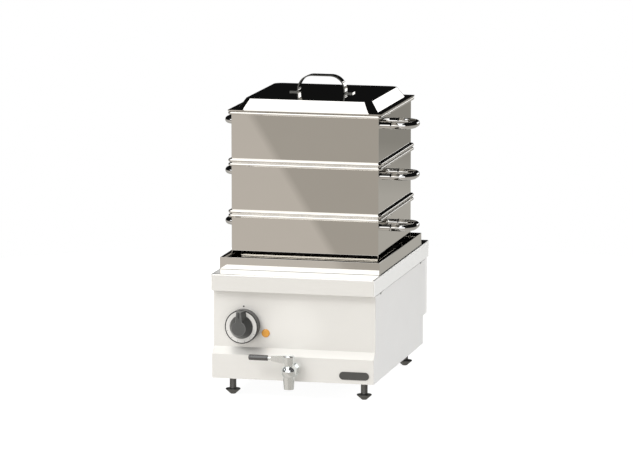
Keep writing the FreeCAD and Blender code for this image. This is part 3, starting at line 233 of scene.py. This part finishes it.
def layeredSheet(name, base, layers):
    # each layer's look takes over past its edge, a later one over an earlier one
    look = steelLooks[base]
    material, tree, shader = startMaterial(name, look["metallic"])
    place = splitAxes(tree, "Object")
    colour, rough, height = sheetParts(tree, look)
    metallic = look["metallic"]
    for edgeName, overName in layers.items():
        edge, over = finishEdges[edgeName], steelLooks[overName]
        away = calc(tree, "ABSOLUTE", calc(tree, "SUBTRACT", place[edge["axis"]], edge["middle"]))
        mask = remap(tree, away, edge["reach"] - edge["short"][0], edge["reach"] - edge["short"][1],
                     0.0, 1.0)
        overColour, overRough, overHeight = sheetParts(tree, over)
        colour = mixColour(tree, mask, colour, overColour)
        rough = remap(tree, mask, 0.0, 1.0, rough, overRough)
        height = remap(tree, mask, 0.0, 1.0, height, overHeight)
        metallic = remap(tree, mask, 0.0, 1.0, metallic, over["metallic"])
    feed(tree, colour, shader.inputs["Base Color"])
    feed(tree, rough, shader.inputs["Roughness"])
    feed(tree, metallic, shader.inputs["Metallic"])
    addBump(tree, shader, height, 1.0, sheetNoise["bumpReach"])
    return material


def mouldMaterial(name):
    look = mouldLooks[name]
    material, tree, shader = startMaterial(name, look["metallic"])
    shader.inputs["IOR"].default_value = look.get("ior", 1.5)
    group = addNode(tree, "ShaderNodeGroup", node_tree=mouldSurface)
    group.inputs["Stipple Scale"].default_value = look["stipple"]
    group.inputs["Rough Low"].default_value = look["rough"][0]
    group.inputs["Rough High"].default_value = look["rough"][1]
    colour = mixColour(tree, group.outputs["Marks"], opaque(look["colour"]), opaque(look["marked"]))
    feed(tree, colour, shader.inputs["Base Color"])
    feed(tree, group.outputs["Roughness"], shader.inputs["Roughness"])
    addBump(tree, shader, group.outputs["Height"], look["bump"], mouldNoise["bumpReach"])
    return material


def dress(material, *names):
    for name in names:
        for spot in nodes[name].material_slots:
            spot.material = material


# steel finishes

steelLooks = {
    "basketSteel": {
        "metallic": 1.0, "colour": (0.80, 0.78, 0.745), "marked": (0.79, 0.77, 0.735),
        "grain": (60, 60, 1500), "grainDepth": 0.01, "ripple": 3.2, "rippleDepth": 0.3,
        "rough": (0.0, 0.012), "bump": 0.004},
    "topSteel": {
        "metallic": 1.0, "colour": (0.845, 0.83, 0.80), "marked": (0.83, 0.815, 0.785),
        "grain": (60, 900, 60), "grainDepth": 0.01, "ripple": 3.0, "rippleDepth": 0.3,
        "rough": (0.01, 0.035), "bump": 0.004},
    "panelSteel": {
        "metallic": 0.35, "colour": (0.755, 0.74, 0.705), "marked": (0.745, 0.73, 0.695),
        "grain": (14, 14, 1500), "grainDepth": 0.3, "ripple": 3.5, "rippleDepth": 0.5,
        "rough": (0.28, 0.33), "bump": 0.015},
    # painted light: a paler copy of the panel steel for the side and rear panels, standing in for
    # light on them
    "paintedLightSideSteel": {
        "metallic": 0.25, "colour": (0.95, 0.95, 0.95), "marked": (0.93, 0.93, 0.93),
        "grain": (14, 14, 1500), "grainDepth": 0.3, "ripple": 3.5, "rippleDepth": 0.5,
        "rough": (0.28, 0.34), "bump": 0.015},
    # painted shade: a dark copy of the steel for the lid strap's edges, standing in for the shade
    # on them
    "paintedShadeEdgeSteel": {
        "metallic": 1.0, "colour": (0.10, 0.10, 0.095), "marked": (0.08, 0.08, 0.075),
        "grain": (300, 60, 300), "grainDepth": 0.1, "ripple": 3.0, "rippleDepth": 0.4,
        "rough": (0.3, 0.4), "bump": 0.05},
    # painted shadow: a dark copy of the side steel for the band just under the worktop's skirt
    "paintedSeamShadowSteel": {
        "metallic": 0.35, "colour": (0.34, 0.34, 0.33), "marked": (0.30, 0.30, 0.29),
        "grain": (14, 14, 1500), "grainDepth": 0.1, "ripple": 3.5, "rippleDepth": 0.5,
        "rough": (0.3, 0.4), "bump": 0.01},
    # painted light: a paler copy of the panel steel for the sides of the worktop's skirt, standing
    # in for light on them
    "paintedLightSkirtSteel": {
        "metallic": 0.12, "colour": (0.96, 0.96, 0.95), "marked": (0.95, 0.95, 0.94),
        "grain": (14, 14, 1500), "grainDepth": 0.3, "ripple": 3.5, "rippleDepth": 0.5,
        "rough": (0.28, 0.34), "bump": 0.015},
    "coverSteel": {
        "metallic": 0.1, "colour": (0.96, 0.96, 0.95), "marked": (0.95, 0.95, 0.94),
        "grain": (14, 14, 1500), "grainDepth": 0.3, "ripple": 3.5, "rippleDepth": 0.5,
        "rough": (0.28, 0.34), "bump": 0.015},
    "tankSteel": {
        "metallic": 0.75, "colour": (0.66, 0.65, 0.63), "marked": (0.60, 0.59, 0.57),
        "grain": (60, 60, 1200), "grainDepth": 0.2, "ripple": 4.0, "rippleDepth": 0.5,
        "rough": (0.22, 0.34), "bump": 0.03},
    "flangeSteel": {
        "metallic": 1.0, "colour": (0.72, 0.71, 0.69), "marked": (0.66, 0.65, 0.63),
        "grain": (60, 60, 1200), "grainDepth": 0.2, "ripple": 4.0, "rippleDepth": 0.5,
        "rough": (0.10, 0.22), "bump": 0.05},
    "insideSteel": {
        "metallic": 0.55, "colour": (0.62, 0.605, 0.58), "marked": (0.57, 0.555, 0.53),
        "grain": (60, 60, 1200), "grainDepth": 0.2, "ripple": 4.0, "rippleDepth": 0.5,
        "rough": (0.30, 0.42), "bump": 0.02},
    "tubeSteel": {
        "metallic": 1.0, "colour": (0.86, 0.86, 0.86), "marked": (0.83, 0.83, 0.83),
        "grain": (300, 300, 300), "grainDepth": 0.05, "ripple": 30.0, "rippleDepth": 0.2,
        "rough": (0.01, 0.03), "bump": 0.006},
}

# where a finish gives way to another: past a reach from a middle, along one axis; the change
# starts and ends that little short of the reach
finishEdges = {
    "worktopSkirt": {"axis": "x", "middle": 0.0, "reach": worktopHigh.x, "short": (0.0015, 0.0005)},
    "worktopTop": {"axis": "z", "middle": 0.0, "reach": worktopHigh.z, "short": (0.0032, 0.0010)},
    # the lid strap's edges, where the painted shade goes
    "strapEdges": {"axis": "y", "middle": stackMiddle, "reach": (strapHigh.y - strapLow.y) / 2,
                   "short": (0.0006, 0.0002)},
    # the painted shadow under the worktop's skirt: a dark band along the side panels just below it
    "sideSeam": {"axis": "z", "middle": 0.0, "reach": worktopLow.z, "short": (0.0028, 0.0025)},
    "basketSides": {"axis": "x", "middle": 0.0, "reach": basketHalf, "short": (0.0008, 0.0005)},
    "basketEnds": {"axis": "y", "middle": stackMiddle, "reach": basketHalf,
                   "short": (0.0008, 0.0005)},
}

plainSteels = ("topSteel", "panelSteel", "paintedLightSideSteel", "coverSteel", "tankSteel", "flangeSteel",
               "insideSteel", "tubeSteel")
steels = {name: sheetMaterial(name) for name in plainSteels}
# the worktop is bright on top and dull down its skirt, whose sides take a paler steel as painted
# light; the strap's edges are dark as painted shade, and a painted shadow runs along the side
# panels under the worktop's skirt; the baskets are bright outside and dull inside
steels["worktopSteel"] = layeredSheet("worktopSteel", "panelSteel", {
    "worktopSkirt": "paintedLightSkirtSteel", "worktopTop": "topSteel"})
steels["strapSteel"] = layeredSheet("strapSteel", "topSteel", {"strapEdges": "paintedShadeEdgeSteel"})
steels["sidePaintedSeamShadow"] = layeredSheet("sidePaintedSeamShadow", "paintedLightSideSteel", {"sideSeam": "paintedSeamShadowSteel"})
steels["basketSheet"] = layeredSheet("basketSheet", "insideSteel", {
    "basketSides": "basketSteel", "basketEnds": "basketSteel"})
print("steel finishes made")


# moulded, cast and plated finishes

mouldLooks = {
    "castChrome": {
        "metallic": 0.93, "colour": (0.95, 0.98, 0.98), "marked": (0.92, 0.95, 0.95),
        "stipple": 700.0, "rough": (0.09, 0.14), "bump": 0.01},
    "blackPlastic": {
        "metallic": 0.0, "colour": (0.062, 0.062, 0.060), "marked": (0.075, 0.075, 0.072),
        "stipple": 2600.0, "rough": (0.32, 0.44), "bump": 0.25},
    "drumPlastic": {
        "metallic": 0.0, "colour": (0.014, 0.014, 0.0135), "marked": (0.02, 0.02, 0.0195),
        "stipple": 2600.0, "rough": (0.25, 0.35), "bump": 0.15, "ior": 1.35},
    "gripPlastic": {
        "metallic": 0.0, "colour": (0.035, 0.034, 0.033), "marked": (0.045, 0.044, 0.043),
        "stipple": 2600.0, "rough": (0.14, 0.22), "bump": 0.05, "ior": 2.0},
    "sealGrey": {
        "metallic": 0.0, "colour": (0.22, 0.215, 0.20), "marked": (0.27, 0.26, 0.245),
        "stipple": 1500.0, "rough": (0.5, 0.65), "bump": 0.2},
    "greyPlastic": {
        "metallic": 0.0, "colour": (0.40, 0.40, 0.38), "marked": (0.46, 0.46, 0.44),
        "stipple": 2600.0, "rough": (0.4, 0.55), "bump": 0.25},
    "footSteel": {
        "metallic": 1.0, "colour": (0.17, 0.17, 0.17), "marked": (0.22, 0.22, 0.215),
        "stipple": 1200.0, "rough": (0.35, 0.5), "bump": 0.3},
    "badgeMetal": {
        "metallic": 0.5, "colour": (0.085, 0.084, 0.080), "marked": (0.10, 0.099, 0.095),
        "stipple": 1500.0, "rough": (0.3, 0.42), "bump": 0.1},
    "sealRubber": {
        "metallic": 0.0, "colour": (0.02, 0.02, 0.02), "marked": (0.03, 0.03, 0.03),
        "stipple": 1500.0, "rough": (0.6, 0.75), "bump": 0.3},
    "zincSteel": {
        "metallic": 1.0, "colour": (0.52, 0.54, 0.55), "marked": (0.36, 0.38, 0.39),
        "stipple": 500.0, "rough": (0.38, 0.55), "bump": 0.1},
    "copperTube": {
        "metallic": 1.0, "colour": (0.72, 0.38, 0.24), "marked": (0.58, 0.28, 0.17),
        "stipple": 700.0, "rough": (0.25, 0.42), "bump": 0.1},
    "heaterSheath": {
        "metallic": 1.0, "colour": (0.20, 0.19, 0.18), "marked": (0.32, 0.29, 0.25),
        "stipple": 900.0, "rough": (0.35, 0.5), "bump": 0.2},
    "screwSteel": {
        "metallic": 1.0, "colour": (0.55, 0.55, 0.55), "marked": (0.48, 0.48, 0.48),
        "stipple": 1500.0, "rough": (0.25, 0.35), "bump": 0.1},
}
moulds = {name: mouldMaterial(name) for name in mouldLooks}
print("moulded and cast finishes made")


# dial face: pale, with plain ticks round its lower half; angles run clockwise from the top
dial = {"ticks": (118, 143, 167, 195, 222, 253), "inner": 0.0338, "outer": 0.0374,
        "halfWidth": 0.00045, "pale": (0.575, 0.562, 0.535), "ink": (0.16, 0.16, 0.15),
        "bump": 0.1, "bumpReach": 0.0003}


def buildDialFace():
    material, tree, shader = startMaterial("dialFace", 0.0)
    place = splitAxes(tree, "Object")
    x = calc(tree, "SUBTRACT", place["x"], knobAxis[0])
    z = calc(tree, "SUBTRACT", place["z"], knobAxis[1])
    reach = calc(tree, "SQRT", calc(tree, "ADD", calc(tree, "MULTIPLY", x, x),
                                    calc(tree, "MULTIPLY", z, z)))
    ring = calc(tree, "MULTIPLY", calc(tree, "GREATER_THAN", reach, dial["inner"]),
                calc(tree, "LESS_THAN", reach, dial["outer"]))
    ticks = 0.0
    for angle in dial["ticks"]:
        turn = math.radians(angle)
        along = calc(tree, "ADD", calc(tree, "MULTIPLY", x, math.sin(turn)),
                     calc(tree, "MULTIPLY", z, math.cos(turn)))
        across = calc(tree, "SUBTRACT", calc(tree, "MULTIPLY", x, math.cos(turn)),
                      calc(tree, "MULTIPLY", z, math.sin(turn)))
        near = calc(tree, "LESS_THAN", calc(tree, "ABSOLUTE", across), dial["halfWidth"])
        tick = calc(tree, "MULTIPLY", near, calc(tree, "GREATER_THAN", along, 0.0))
        ticks = calc(tree, "MAXIMUM", ticks, tick)
    inked = calc(tree, "MULTIPLY", ticks, ring)
    group = addNode(tree, "ShaderNodeGroup", node_tree=mouldSurface)
    feed(tree, mixColour(tree, inked, opaque(dial["pale"]), opaque(dial["ink"])),
         shader.inputs["Base Color"])
    feed(tree, group.outputs["Roughness"], shader.inputs["Roughness"])
    addBump(tree, shader, group.outputs["Height"], dial["bump"], dial["bumpReach"])
    return material


# the knob's grip: its face is the plain black plastic, its sides are darker as painted shade, and
# its rim is palest as a painted highlight; the rim and the sides start and end at depths behind the
# front
grip = {"face": (0.062, 0.062, 0.060), "faceMarked": (0.078, 0.078, 0.075),
        "edge": (0.15, 0.15, 0.147), "side": (0.018, 0.018, 0.0175),
        "shadedSideMarked": (0.026, 0.026, 0.025), "paintedRimDepths": (0.00005, 0.0002),
        "paintedShadeSideDepths": (0.0008, 0.0018), "stipple": 2600.0, "rough": (0.28, 0.4), "bump": 0.25}


def buildKnobGrip():
    material, tree, shader = startMaterial("knobGrip", 0.0)
    depth = calc(tree, "SUBTRACT", splitAxes(tree, "Object")["y"], knobLow.y)
    group = addNode(tree, "ShaderNodeGroup", node_tree=mouldSurface)
    group.inputs["Stipple Scale"].default_value = grip["stipple"]
    group.inputs["Rough Low"].default_value = grip["rough"][0]
    group.inputs["Rough High"].default_value = grip["rough"][1]
    # the grip's sides: a darker copy of the plastic, painted shade
    side = mixColour(tree, group.outputs["Marks"], opaque(grip["side"]), opaque(grip["shadedSideMarked"]))
    face = mixColour(tree, group.outputs["Marks"], opaque(grip["face"]), opaque(grip["faceMarked"]))
    paintedRimFade = remap(tree, depth, *grip["paintedRimDepths"], 0.0, 1.0)
    paintedShadeSideFade = remap(tree, depth, *grip["paintedShadeSideDepths"], 0.0, 1.0)
    # a painted highlight on the rim, then painted shade down the sides
    faceWithPaintedRim = mixColour(tree, paintedRimFade, face, opaque(grip["edge"]))
    feed(tree, mixColour(tree, paintedShadeSideFade, faceWithPaintedRim, side), shader.inputs["Base Color"])
    feed(tree, group.outputs["Roughness"], shader.inputs["Roughness"])
    addBump(tree, shader, group.outputs["Height"], grip["bump"], mouldNoise["bumpReach"])
    return material


# the lamp's lens: coated amber with a faint glow
lens = {"colour": (0.66, 0.31, 0.045), "marked": (0.58, 0.26, 0.035), "rough": (0.12, 0.2),
        "coat": 0.6, "glow": (0.9, 0.40, 0.06), "glowStrength": 0.05}


def buildLampAmber():
    material, tree, shader = startMaterial("lampAmber", 0.0)
    shader.inputs["Coat Weight"].default_value = lens["coat"]
    shader.inputs["Emission Color"].default_value = opaque(lens["glow"])
    shader.inputs["Emission Strength"].default_value = lens["glowStrength"]
    group = addNode(tree, "ShaderNodeGroup", node_tree=mouldSurface)
    group.inputs["Rough Low"].default_value = lens["rough"][0]
    group.inputs["Rough High"].default_value = lens["rough"][1]
    colour = mixColour(tree, group.outputs["Marks"], opaque(lens["colour"]), opaque(lens["marked"]))
    feed(tree, colour, shader.inputs["Base Color"])
    feed(tree, group.outputs["Roughness"], shader.inputs["Roughness"])
    return material


# finishes onto the frame's own nodes

dress(steels["worktopSteel"], "worktop")
dress(steels["strapSteel"], "lid_handle")
dress(steels["topSteel"], "tank_collar", "lid", "lid_ring")
dress(steels["panelSteel"], "control_panel", "lower_front_panel")
dress(steels["sidePaintedSeamShadow"], "side_panel_left", "side_panel_right")
dress(steels["paintedLightSideSteel"], "rear_panel")
dress(steels["coverSteel"], "rear_cover")
dress(steels["tankSteel"], "water_tank")
dress(steels["flangeSteel"], "tank_flange")
for tier in tierNames:
    dress(steels["basketSheet"], tier + "_basket")
    dress(steels["insideSteel"], tier + "_basket_floor")
    dress(steels["tubeSteel"], tier + "_handle_left", tier + "_handle_right")
dress(moulds["zincSteel"], "base_plate", "foot_bushes", "element_flange")
dress(moulds["sealRubber"], "tank_gasket")
dress(moulds["drumPlastic"], "dial_drum", "knob_index")
dress(buildKnobGrip(), "control_knob")
dress(moulds["gripPlastic"], "valve_grip")
dress(moulds["blackPlastic"], "cable_gland", "gland_nut", "thermostat_body", "contactor")
dress(buildDialFace(), "dial_plate")
dress(moulds["screwSteel"], "thermostat_shaft", "panel_screws", "valve_stem", "safety_thermostat")
dress(moulds["greyPlastic"], "lamp_body", "terminal_block")
dress(buildLampAmber(), "lamp_lens")
dress(moulds["castChrome"], "valve_body", "valve_spout", "valve_lever", "valve_ball",
      "valve_locknut")
dress(moulds["footSteel"], "foot_front_left", "foot_front_right", "foot_rear_left",
      "foot_rear_right")
dress(moulds["badgeMetal"], "badge_plate")
dress(moulds["heaterSheath"], "heating_element_left", "heating_element_right")
dress(moulds["copperTube"], "drain_pipe")
print("frame nodes dressed")


# small pieces that the drawing leaves out

def addPiece(name, work, material, body):
    bmesh.ops.recalc_face_normals(work, faces=work.faces[:])
    mesh = bpy.data.meshes.new(name)
    work.to_mesh(mesh)
    work.free()
    mesh.materials.append(material)
    piece = bpy.data.objects.new(name, mesh)
    scene.collection.objects.link(piece)
    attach(piece, body)


# a bead of sealant where the collar stands on the worktop; its section is a closed list of ways
# out from the collar's face and up from the worktop
collarFoot = {"section": ((-0.0004, 0.0), (0.0009, 0.0), (0.00054, 0.00054), (-0.0004, 0.0009),
                          (-0.0004, 0.0)),
              "merge": 0.00001}


def addCollarBead():
    middle, half = middleOf("tank_collar"), (collarHigh - collarLow) / 2
    work = bmesh.new()
    ring = [work.verts.new((middle.x + x, middle.y + y, 0))
            for x, y in ((-1, -1), (1, -1), (1, 1), (-1, 1))]
    edges = [work.edges.new((ring[spot - 1], ring[spot])) for spot in range(len(ring))]
    for step, (out, up) in enumerate(collarFoot["section"]):
        if step > 0:
            grown = bmesh.ops.extrude_edge_only(work, edges=edges)["geom"]
            ring = [item for item in grown if isinstance(item, bmesh.types.BMVert)]
            edges = [item for item in grown
                     if isinstance(item, bmesh.types.BMEdge) and item.is_boundary]
        for vert in ring:
            vert.co = (middle.x + math.copysign(half.x + out, vert.co.x - middle.x),
                       middle.y + math.copysign(half.y + out, vert.co.y - middle.y),
                       collarLow.z + up)
    bmesh.ops.remove_doubles(work, verts=work.verts[:], dist=collarFoot["merge"])
    addPiece("collarBead", work, moulds["sealGrey"], "cabinet")


# the ground weld where each end of a handle meets the basket; its section is a list of ways out
# from the wall and up from the tube, spun round the tube
handleFoot = {"tubeRadius": 0.0082, "halfPitch": 0.042, "steps": 40,
              "section": ((-0.0004, -0.0004), (-0.0004, 0.0022), (0.0004, 0.0012),
                          (0.0012, 0.0004), (0.0022, -0.0004))}


def addHandleWelds(tier, side, sideName):
    level = middleOf(tier + "_handle_right").z
    work = bmesh.new()
    for across in (-handleFoot["halfPitch"], handleFoot["halfPitch"]):
        axis = Vector((0, stackMiddle + across, level))
        section = [work.verts.new((side * (basketHalf + out), axis.y,
                                   level + handleFoot["tubeRadius"] + up))
                   for out, up in handleFoot["section"]]
        edges = [work.edges.new((section[spot - 1], section[spot])) for spot in range(len(section))]
        bmesh.ops.spin(work, geom=section + edges, cent=axis, axis=(1, 0, 0), angle=math.tau,
                       steps=handleFoot["steps"], use_merge=True, use_duplicate=False)
    for face in work.faces:
        face.smooth = True
    addPiece(tier + "HandleWelds" + sideName, work, steels["tubeSteel"], tier + "_tier")


# a black block in the slot of the knob's wing: painted shade standing in for the slot's shadow
knobSlot = {"size": (0.0021, 0.0007, 0.0142), "behindFront": 0.00115, "belowTop": 0.0078}


def addKnobSlotShade():
    middle = (knobAxis[0], knobLow.y + knobSlot["behindFront"], knobHigh.z - knobSlot["belowTop"])
    work = bmesh.new()
    bmesh.ops.create_cube(work, size=1.0)
    bmesh.ops.scale(work, vec=knobSlot["size"], verts=work.verts[:])
    bmesh.ops.translate(work, vec=middle, verts=work.verts[:])
    # painted shade: the block takes the black rubber finish
    addPiece("knobSlotShade", work, moulds["sealRubber"], "knob")


# the printed dot above the dial
printedDot = {"radius": 0.0019, "height": 0.0007, "segments": 32}


def addIndexDot():
    work = bmesh.new()
    bmesh.ops.create_cone(work, cap_ends=True, segments=printedDot["segments"],
                          radius1=printedDot["radius"], radius2=printedDot["radius"],
                          depth=printedDot["height"])
    bmesh.ops.rotate(work, cent=(0, 0, 0), matrix=Matrix.Rotation(math.radians(90), 3, "X"),
                     verts=work.verts[:])
    bmesh.ops.translate(work, vec=middleOf("knob_index"), verts=work.verts[:])
    addPiece("indexDot", work, moulds["drumPlastic"], "cabinet")


addCollarBead()
addIndexDot()
for tier in tierNames:
    addHandleWelds(tier, -1, "Left")
    addHandleWelds(tier, 1, "Right")
addKnobSlotShade()
print("small pieces made")


# studio: a dark room with soft boxes, and a bright sheet on the table

studio = {"floorRadius": 2.0, "floorSegments": 128, "floorColour": (0.25, 0.25, 0.25),
          "floorRough": 0.8, "floorSpecular": 0.1, "floorGlow": 0.93,
          "dark": (0.006, 0.006, 0.006), "white": (1.6, 1.6, 1.59),
          "boxBlur": 0.003, "leastFacing": 0.001, "horizonBlur": 0.004}

# a soft box spans two slopes, each the way along one axis over the way along the axis that the
# box stands on; a dark one takes light away
softBoxes = {
    "overhead": {"stands": "+z", "across": ("x", -0.75, 0.12), "along": ("y", -3.0, 0.12)},
    "frontWall": {"stands": "-y", "across": ("x", -0.9, 0.7), "along": ("z", 0.0, 0.6)},
    "backRight": {"stands": "+y", "across": ("x", 0.18, 0.30), "along": ("z", 0.02, 0.178)},
    "beadLine": {"stands": "+y", "across": ("x", 0.2145, 0.236), "along": ("z", 0.138, 0.172),
                 "dark": True},
    "endGlow": {"stands": "+y", "across": ("x", -0.2640, -0.2622), "along": ("z", 0.162, 0.19)},
    "leftWall": {"stands": "-x", "across": ("y", -0.55, -0.15), "along": ("z", 0.35, 0.7)},
}
# what lies past the table's sheet, below eye level
beyond = {"lightFront": (0.585, 0.545, 0.498), "darkFront": (0.432, 0.403, 0.363),
          "highBack": (0.27, 0.26, 0.235), "lowBack": (0.44, 0.425, 0.39),
          "edgeTop": (-0.2561, -0.1393), "edgeFoot": (-0.2371, -0.1703), "edgeBlur": 0.0012,
          "backFade": (-0.1445, -0.157), "turnBlur": 0.3}


def buildFloor():
    mesh = bpy.data.meshes.new("paleFloor")
    work = bmesh.new()
    bmesh.ops.create_circle(work, cap_ends=True, segments=studio["floorSegments"],
                            radius=studio["floorRadius"])
    work.to_mesh(mesh)
    work.free()
    floor = bpy.data.objects.new("paleFloor", mesh)
    scene.collection.objects.link(floor)
    material, tree, shader = startMaterial("paleFloor", 0.0)
    shader.inputs["Base Color"].default_value = opaque(studio["floorColour"])
    shader.inputs["Roughness"].default_value = studio["floorRough"]
    shader.inputs["Specular IOR Level"].default_value = studio["floorSpecular"]
    shader.inputs["Emission Color"].default_value = opaque((1, 1, 1))
    shader.inputs["Emission Strength"].default_value = studio["floorGlow"]
    mesh.materials.append(material)
    floor.visible_glossy = False


def slopes(tree, way, stands):
    # how far a way faces the side that a box stands on, and its other two parts over that
    sign, axis = stands
    along = calc(tree, "MULTIPLY", way[axis], -1.0 if sign == "-" else 1.0)
    facing = calc(tree, "MAXIMUM", along, studio["leastFacing"])
    slope = {other: calc(tree, "DIVIDE", way[other], facing) for other in "xyz" if other != axis}
    return facing, slope


def softBoxMask(tree, way, box):
    facing, slope = slopes(tree, way, box["stands"])
    mask = calc(tree, "GREATER_THAN", facing, 2 * studio["leastFacing"])
    blur = studio["boxBlur"]
    for axis, low, high in (box["across"], box["along"]):
        rise = remap(tree, slope[axis], low - blur, low + blur, 0.0, 1.0)
        fall = remap(tree, slope[axis], high - blur, high + blur, 1.0, 0.0)
        mask = calc(tree, "MULTIPLY", mask, calc(tree, "MULTIPLY", rise, fall))
    return mask


def beyondTable(tree, way):
    # in front, a slanting edge between a lighter and a darker part; behind, darker near eye level
    front = slopes(tree, way, "-y")[1]
    (topAcross, topUp), (footAcross, footUp) = beyond["edgeTop"], beyond["edgeFoot"]
    lean = (footAcross - topAcross) / (footUp - topUp)
    drop = calc(tree, "SUBTRACT", front["z"], topUp)
    edge = calc(tree, "ADD", calc(tree, "MULTIPLY", drop, lean), topAcross)
    past = remap(tree, calc(tree, "SUBTRACT", front["x"], edge),
                 -beyond["edgeBlur"], beyond["edgeBlur"], 0.0, 1.0)
    ahead = mixColour(tree, past, opaque(beyond["lightFront"]), opaque(beyond["darkFront"]))
    back = slopes(tree, way, "+y")[1]
    lower = remap(tree, back["z"], *beyond["backFade"], 0.0, 1.0)
    behind = mixColour(tree, lower, opaque(beyond["highBack"]), opaque(beyond["lowBack"]))
    turned = remap(tree, way["y"], -beyond["turnBlur"], beyond["turnBlur"], 0.0, 1.0)
    return mixColour(tree, turned, ahead, behind)


def buildWorld():
    world = bpy.data.worlds.new("studio")
    world.use_nodes = True
    scene.world = world
    tree = world.node_tree
    tree.nodes.clear()
    way = splitAxes(tree, "Generated")
    lights = 0.0
    for box in softBoxes.values():
        mask = softBoxMask(tree, way, box)
        if box.get("dark"):
            lights = calc(tree, "MULTIPLY", lights, calc(tree, "SUBTRACT", 1.0, mask))
        else:
            lights = calc(tree, "MAXIMUM", lights, mask)
    above = mixColour(tree, lights, opaque(studio["dark"]), opaque(studio["white"]))
    under = remap(tree, way["z"], -studio["horizonBlur"], studio["horizonBlur"], 1.0, 0.0)
    lit = addNode(tree, "ShaderNodeBackground")
    feed(tree, mixColour(tree, under, above, beyondTable(tree, way)), lit.inputs["Color"])
    plain = addNode(tree, "ShaderNodeBackground")   # the white backdrop that the camera sees
    plain.inputs["Color"].default_value = opaque((1, 1, 1))
    mix = addNode(tree, "ShaderNodeMixShader")
    feed(tree, addNode(tree, "ShaderNodeLightPath").outputs["Is Camera Ray"], mix.inputs[0])
    feed(tree, lit.outputs[0], mix.inputs[1])
    feed(tree, plain.outputs[0], mix.inputs[2])
    feed(tree, mix.outputs[0], addNode(tree, "ShaderNodeOutputWorld").inputs[0])


# narrow beams that brighten the control panel, and broad lamps that light the dull pieces and
# the table; none of them shows in the steel
stackAim = (0, 0, 0.35)
lamps = {
    "panelBeam": {"kind": "SPOT", "place": (-0.4, -3.2, 1.0), "aim": (0.0, -0.262, 0.172),
                  "angle": 0.056, "watts": 60},
    "sideBeam": {"kind": "SPOT", "place": (-0.24, -3.3, 0.7), "aim": (-0.172, -0.262, 0.178),
                 "angle": 0.062, "watts": 55},
    "keyLamp": {"kind": "AREA", "place": (-2.2, -3.2, 3.4), "aim": stackAim,
                "size": (2.4, 1.6), "watts": 125},
    "fillLamp": {"kind": "AREA", "place": (3.8, -0.6, 2.2), "aim": stackAim,
                 "size": (2.0, 2.0), "watts": 85},
    "backLamp": {"kind": "AREA", "place": (0.6, 3.4, 2.8), "aim": stackAim,
                 "size": (2.4, 1.6), "watts": 60},
}


def addLamp(name, look):
    light = bpy.data.lights.new(name, look["kind"])
    light.energy = look["watts"]
    if look["kind"] == "SPOT":
        light.spot_size = look["angle"]
        light.spot_blend = 1.0
    else:
        light.shape = "RECTANGLE"
        light.size, light.size_y = look["size"]
    lamp = bpy.data.objects.new(name, light)
    scene.collection.objects.link(lamp)
    lamp.location = look["place"]
    aim = Vector(look["aim"]) - Vector(look["place"])
    lamp.rotation_euler = aim.to_track_quat("-Z", "Y").to_euler()
    lamp.visible_glossy = False


# camera: where the photograph was taken from
shot = {"target": (0.0, -0.08, 0.348), "distance": 10.98457, "yaw": 13.53, "pitch": 9.23,
        "focalPixels": 4544.72, "shiftPixels": (-4.38, 6.5), "imageWidth": 633,
        "sensorWidth": 36.0, "farthest": 60.0}


def buildCamera():
    yaw, pitch = math.radians(shot["yaw"]), math.radians(shot["pitch"])
    right = Vector((math.cos(yaw), math.sin(yaw), 0))
    ahead = Vector((-math.sin(yaw) * math.cos(pitch), math.cos(yaw) * math.cos(pitch),
                    -math.sin(pitch)))
    up = Vector((-math.sin(yaw) * math.sin(pitch), math.cos(yaw) * math.sin(pitch),
                 math.cos(pitch)))
    aside = [pixels / shot["focalPixels"] for pixels in shot["shiftPixels"]]
    way = ahead + aside[0] * right - aside[1] * up
    spot = Vector(shot["target"]) - shot["distance"] * way
    data = bpy.data.cameras.new("photoCamera")
    data.sensor_width = shot["sensorWidth"]
    data.lens = shot["focalPixels"] * data.sensor_width / shot["imageWidth"]
    data.clip_end = shot["farthest"]
    camera = bpy.data.objects.new("photoCamera", data)
    scene.collection.objects.link(camera)
    turn = Matrix((right, up, -ahead)).transposed()
    camera.matrix_world = Matrix.Translation(spot) @ turn.to_4x4()
    scene.camera = camera


buildFloor()
buildWorld()
for name, look in lamps.items():
    addLamp(name, look)
buildCamera()
print("studio and camera made")
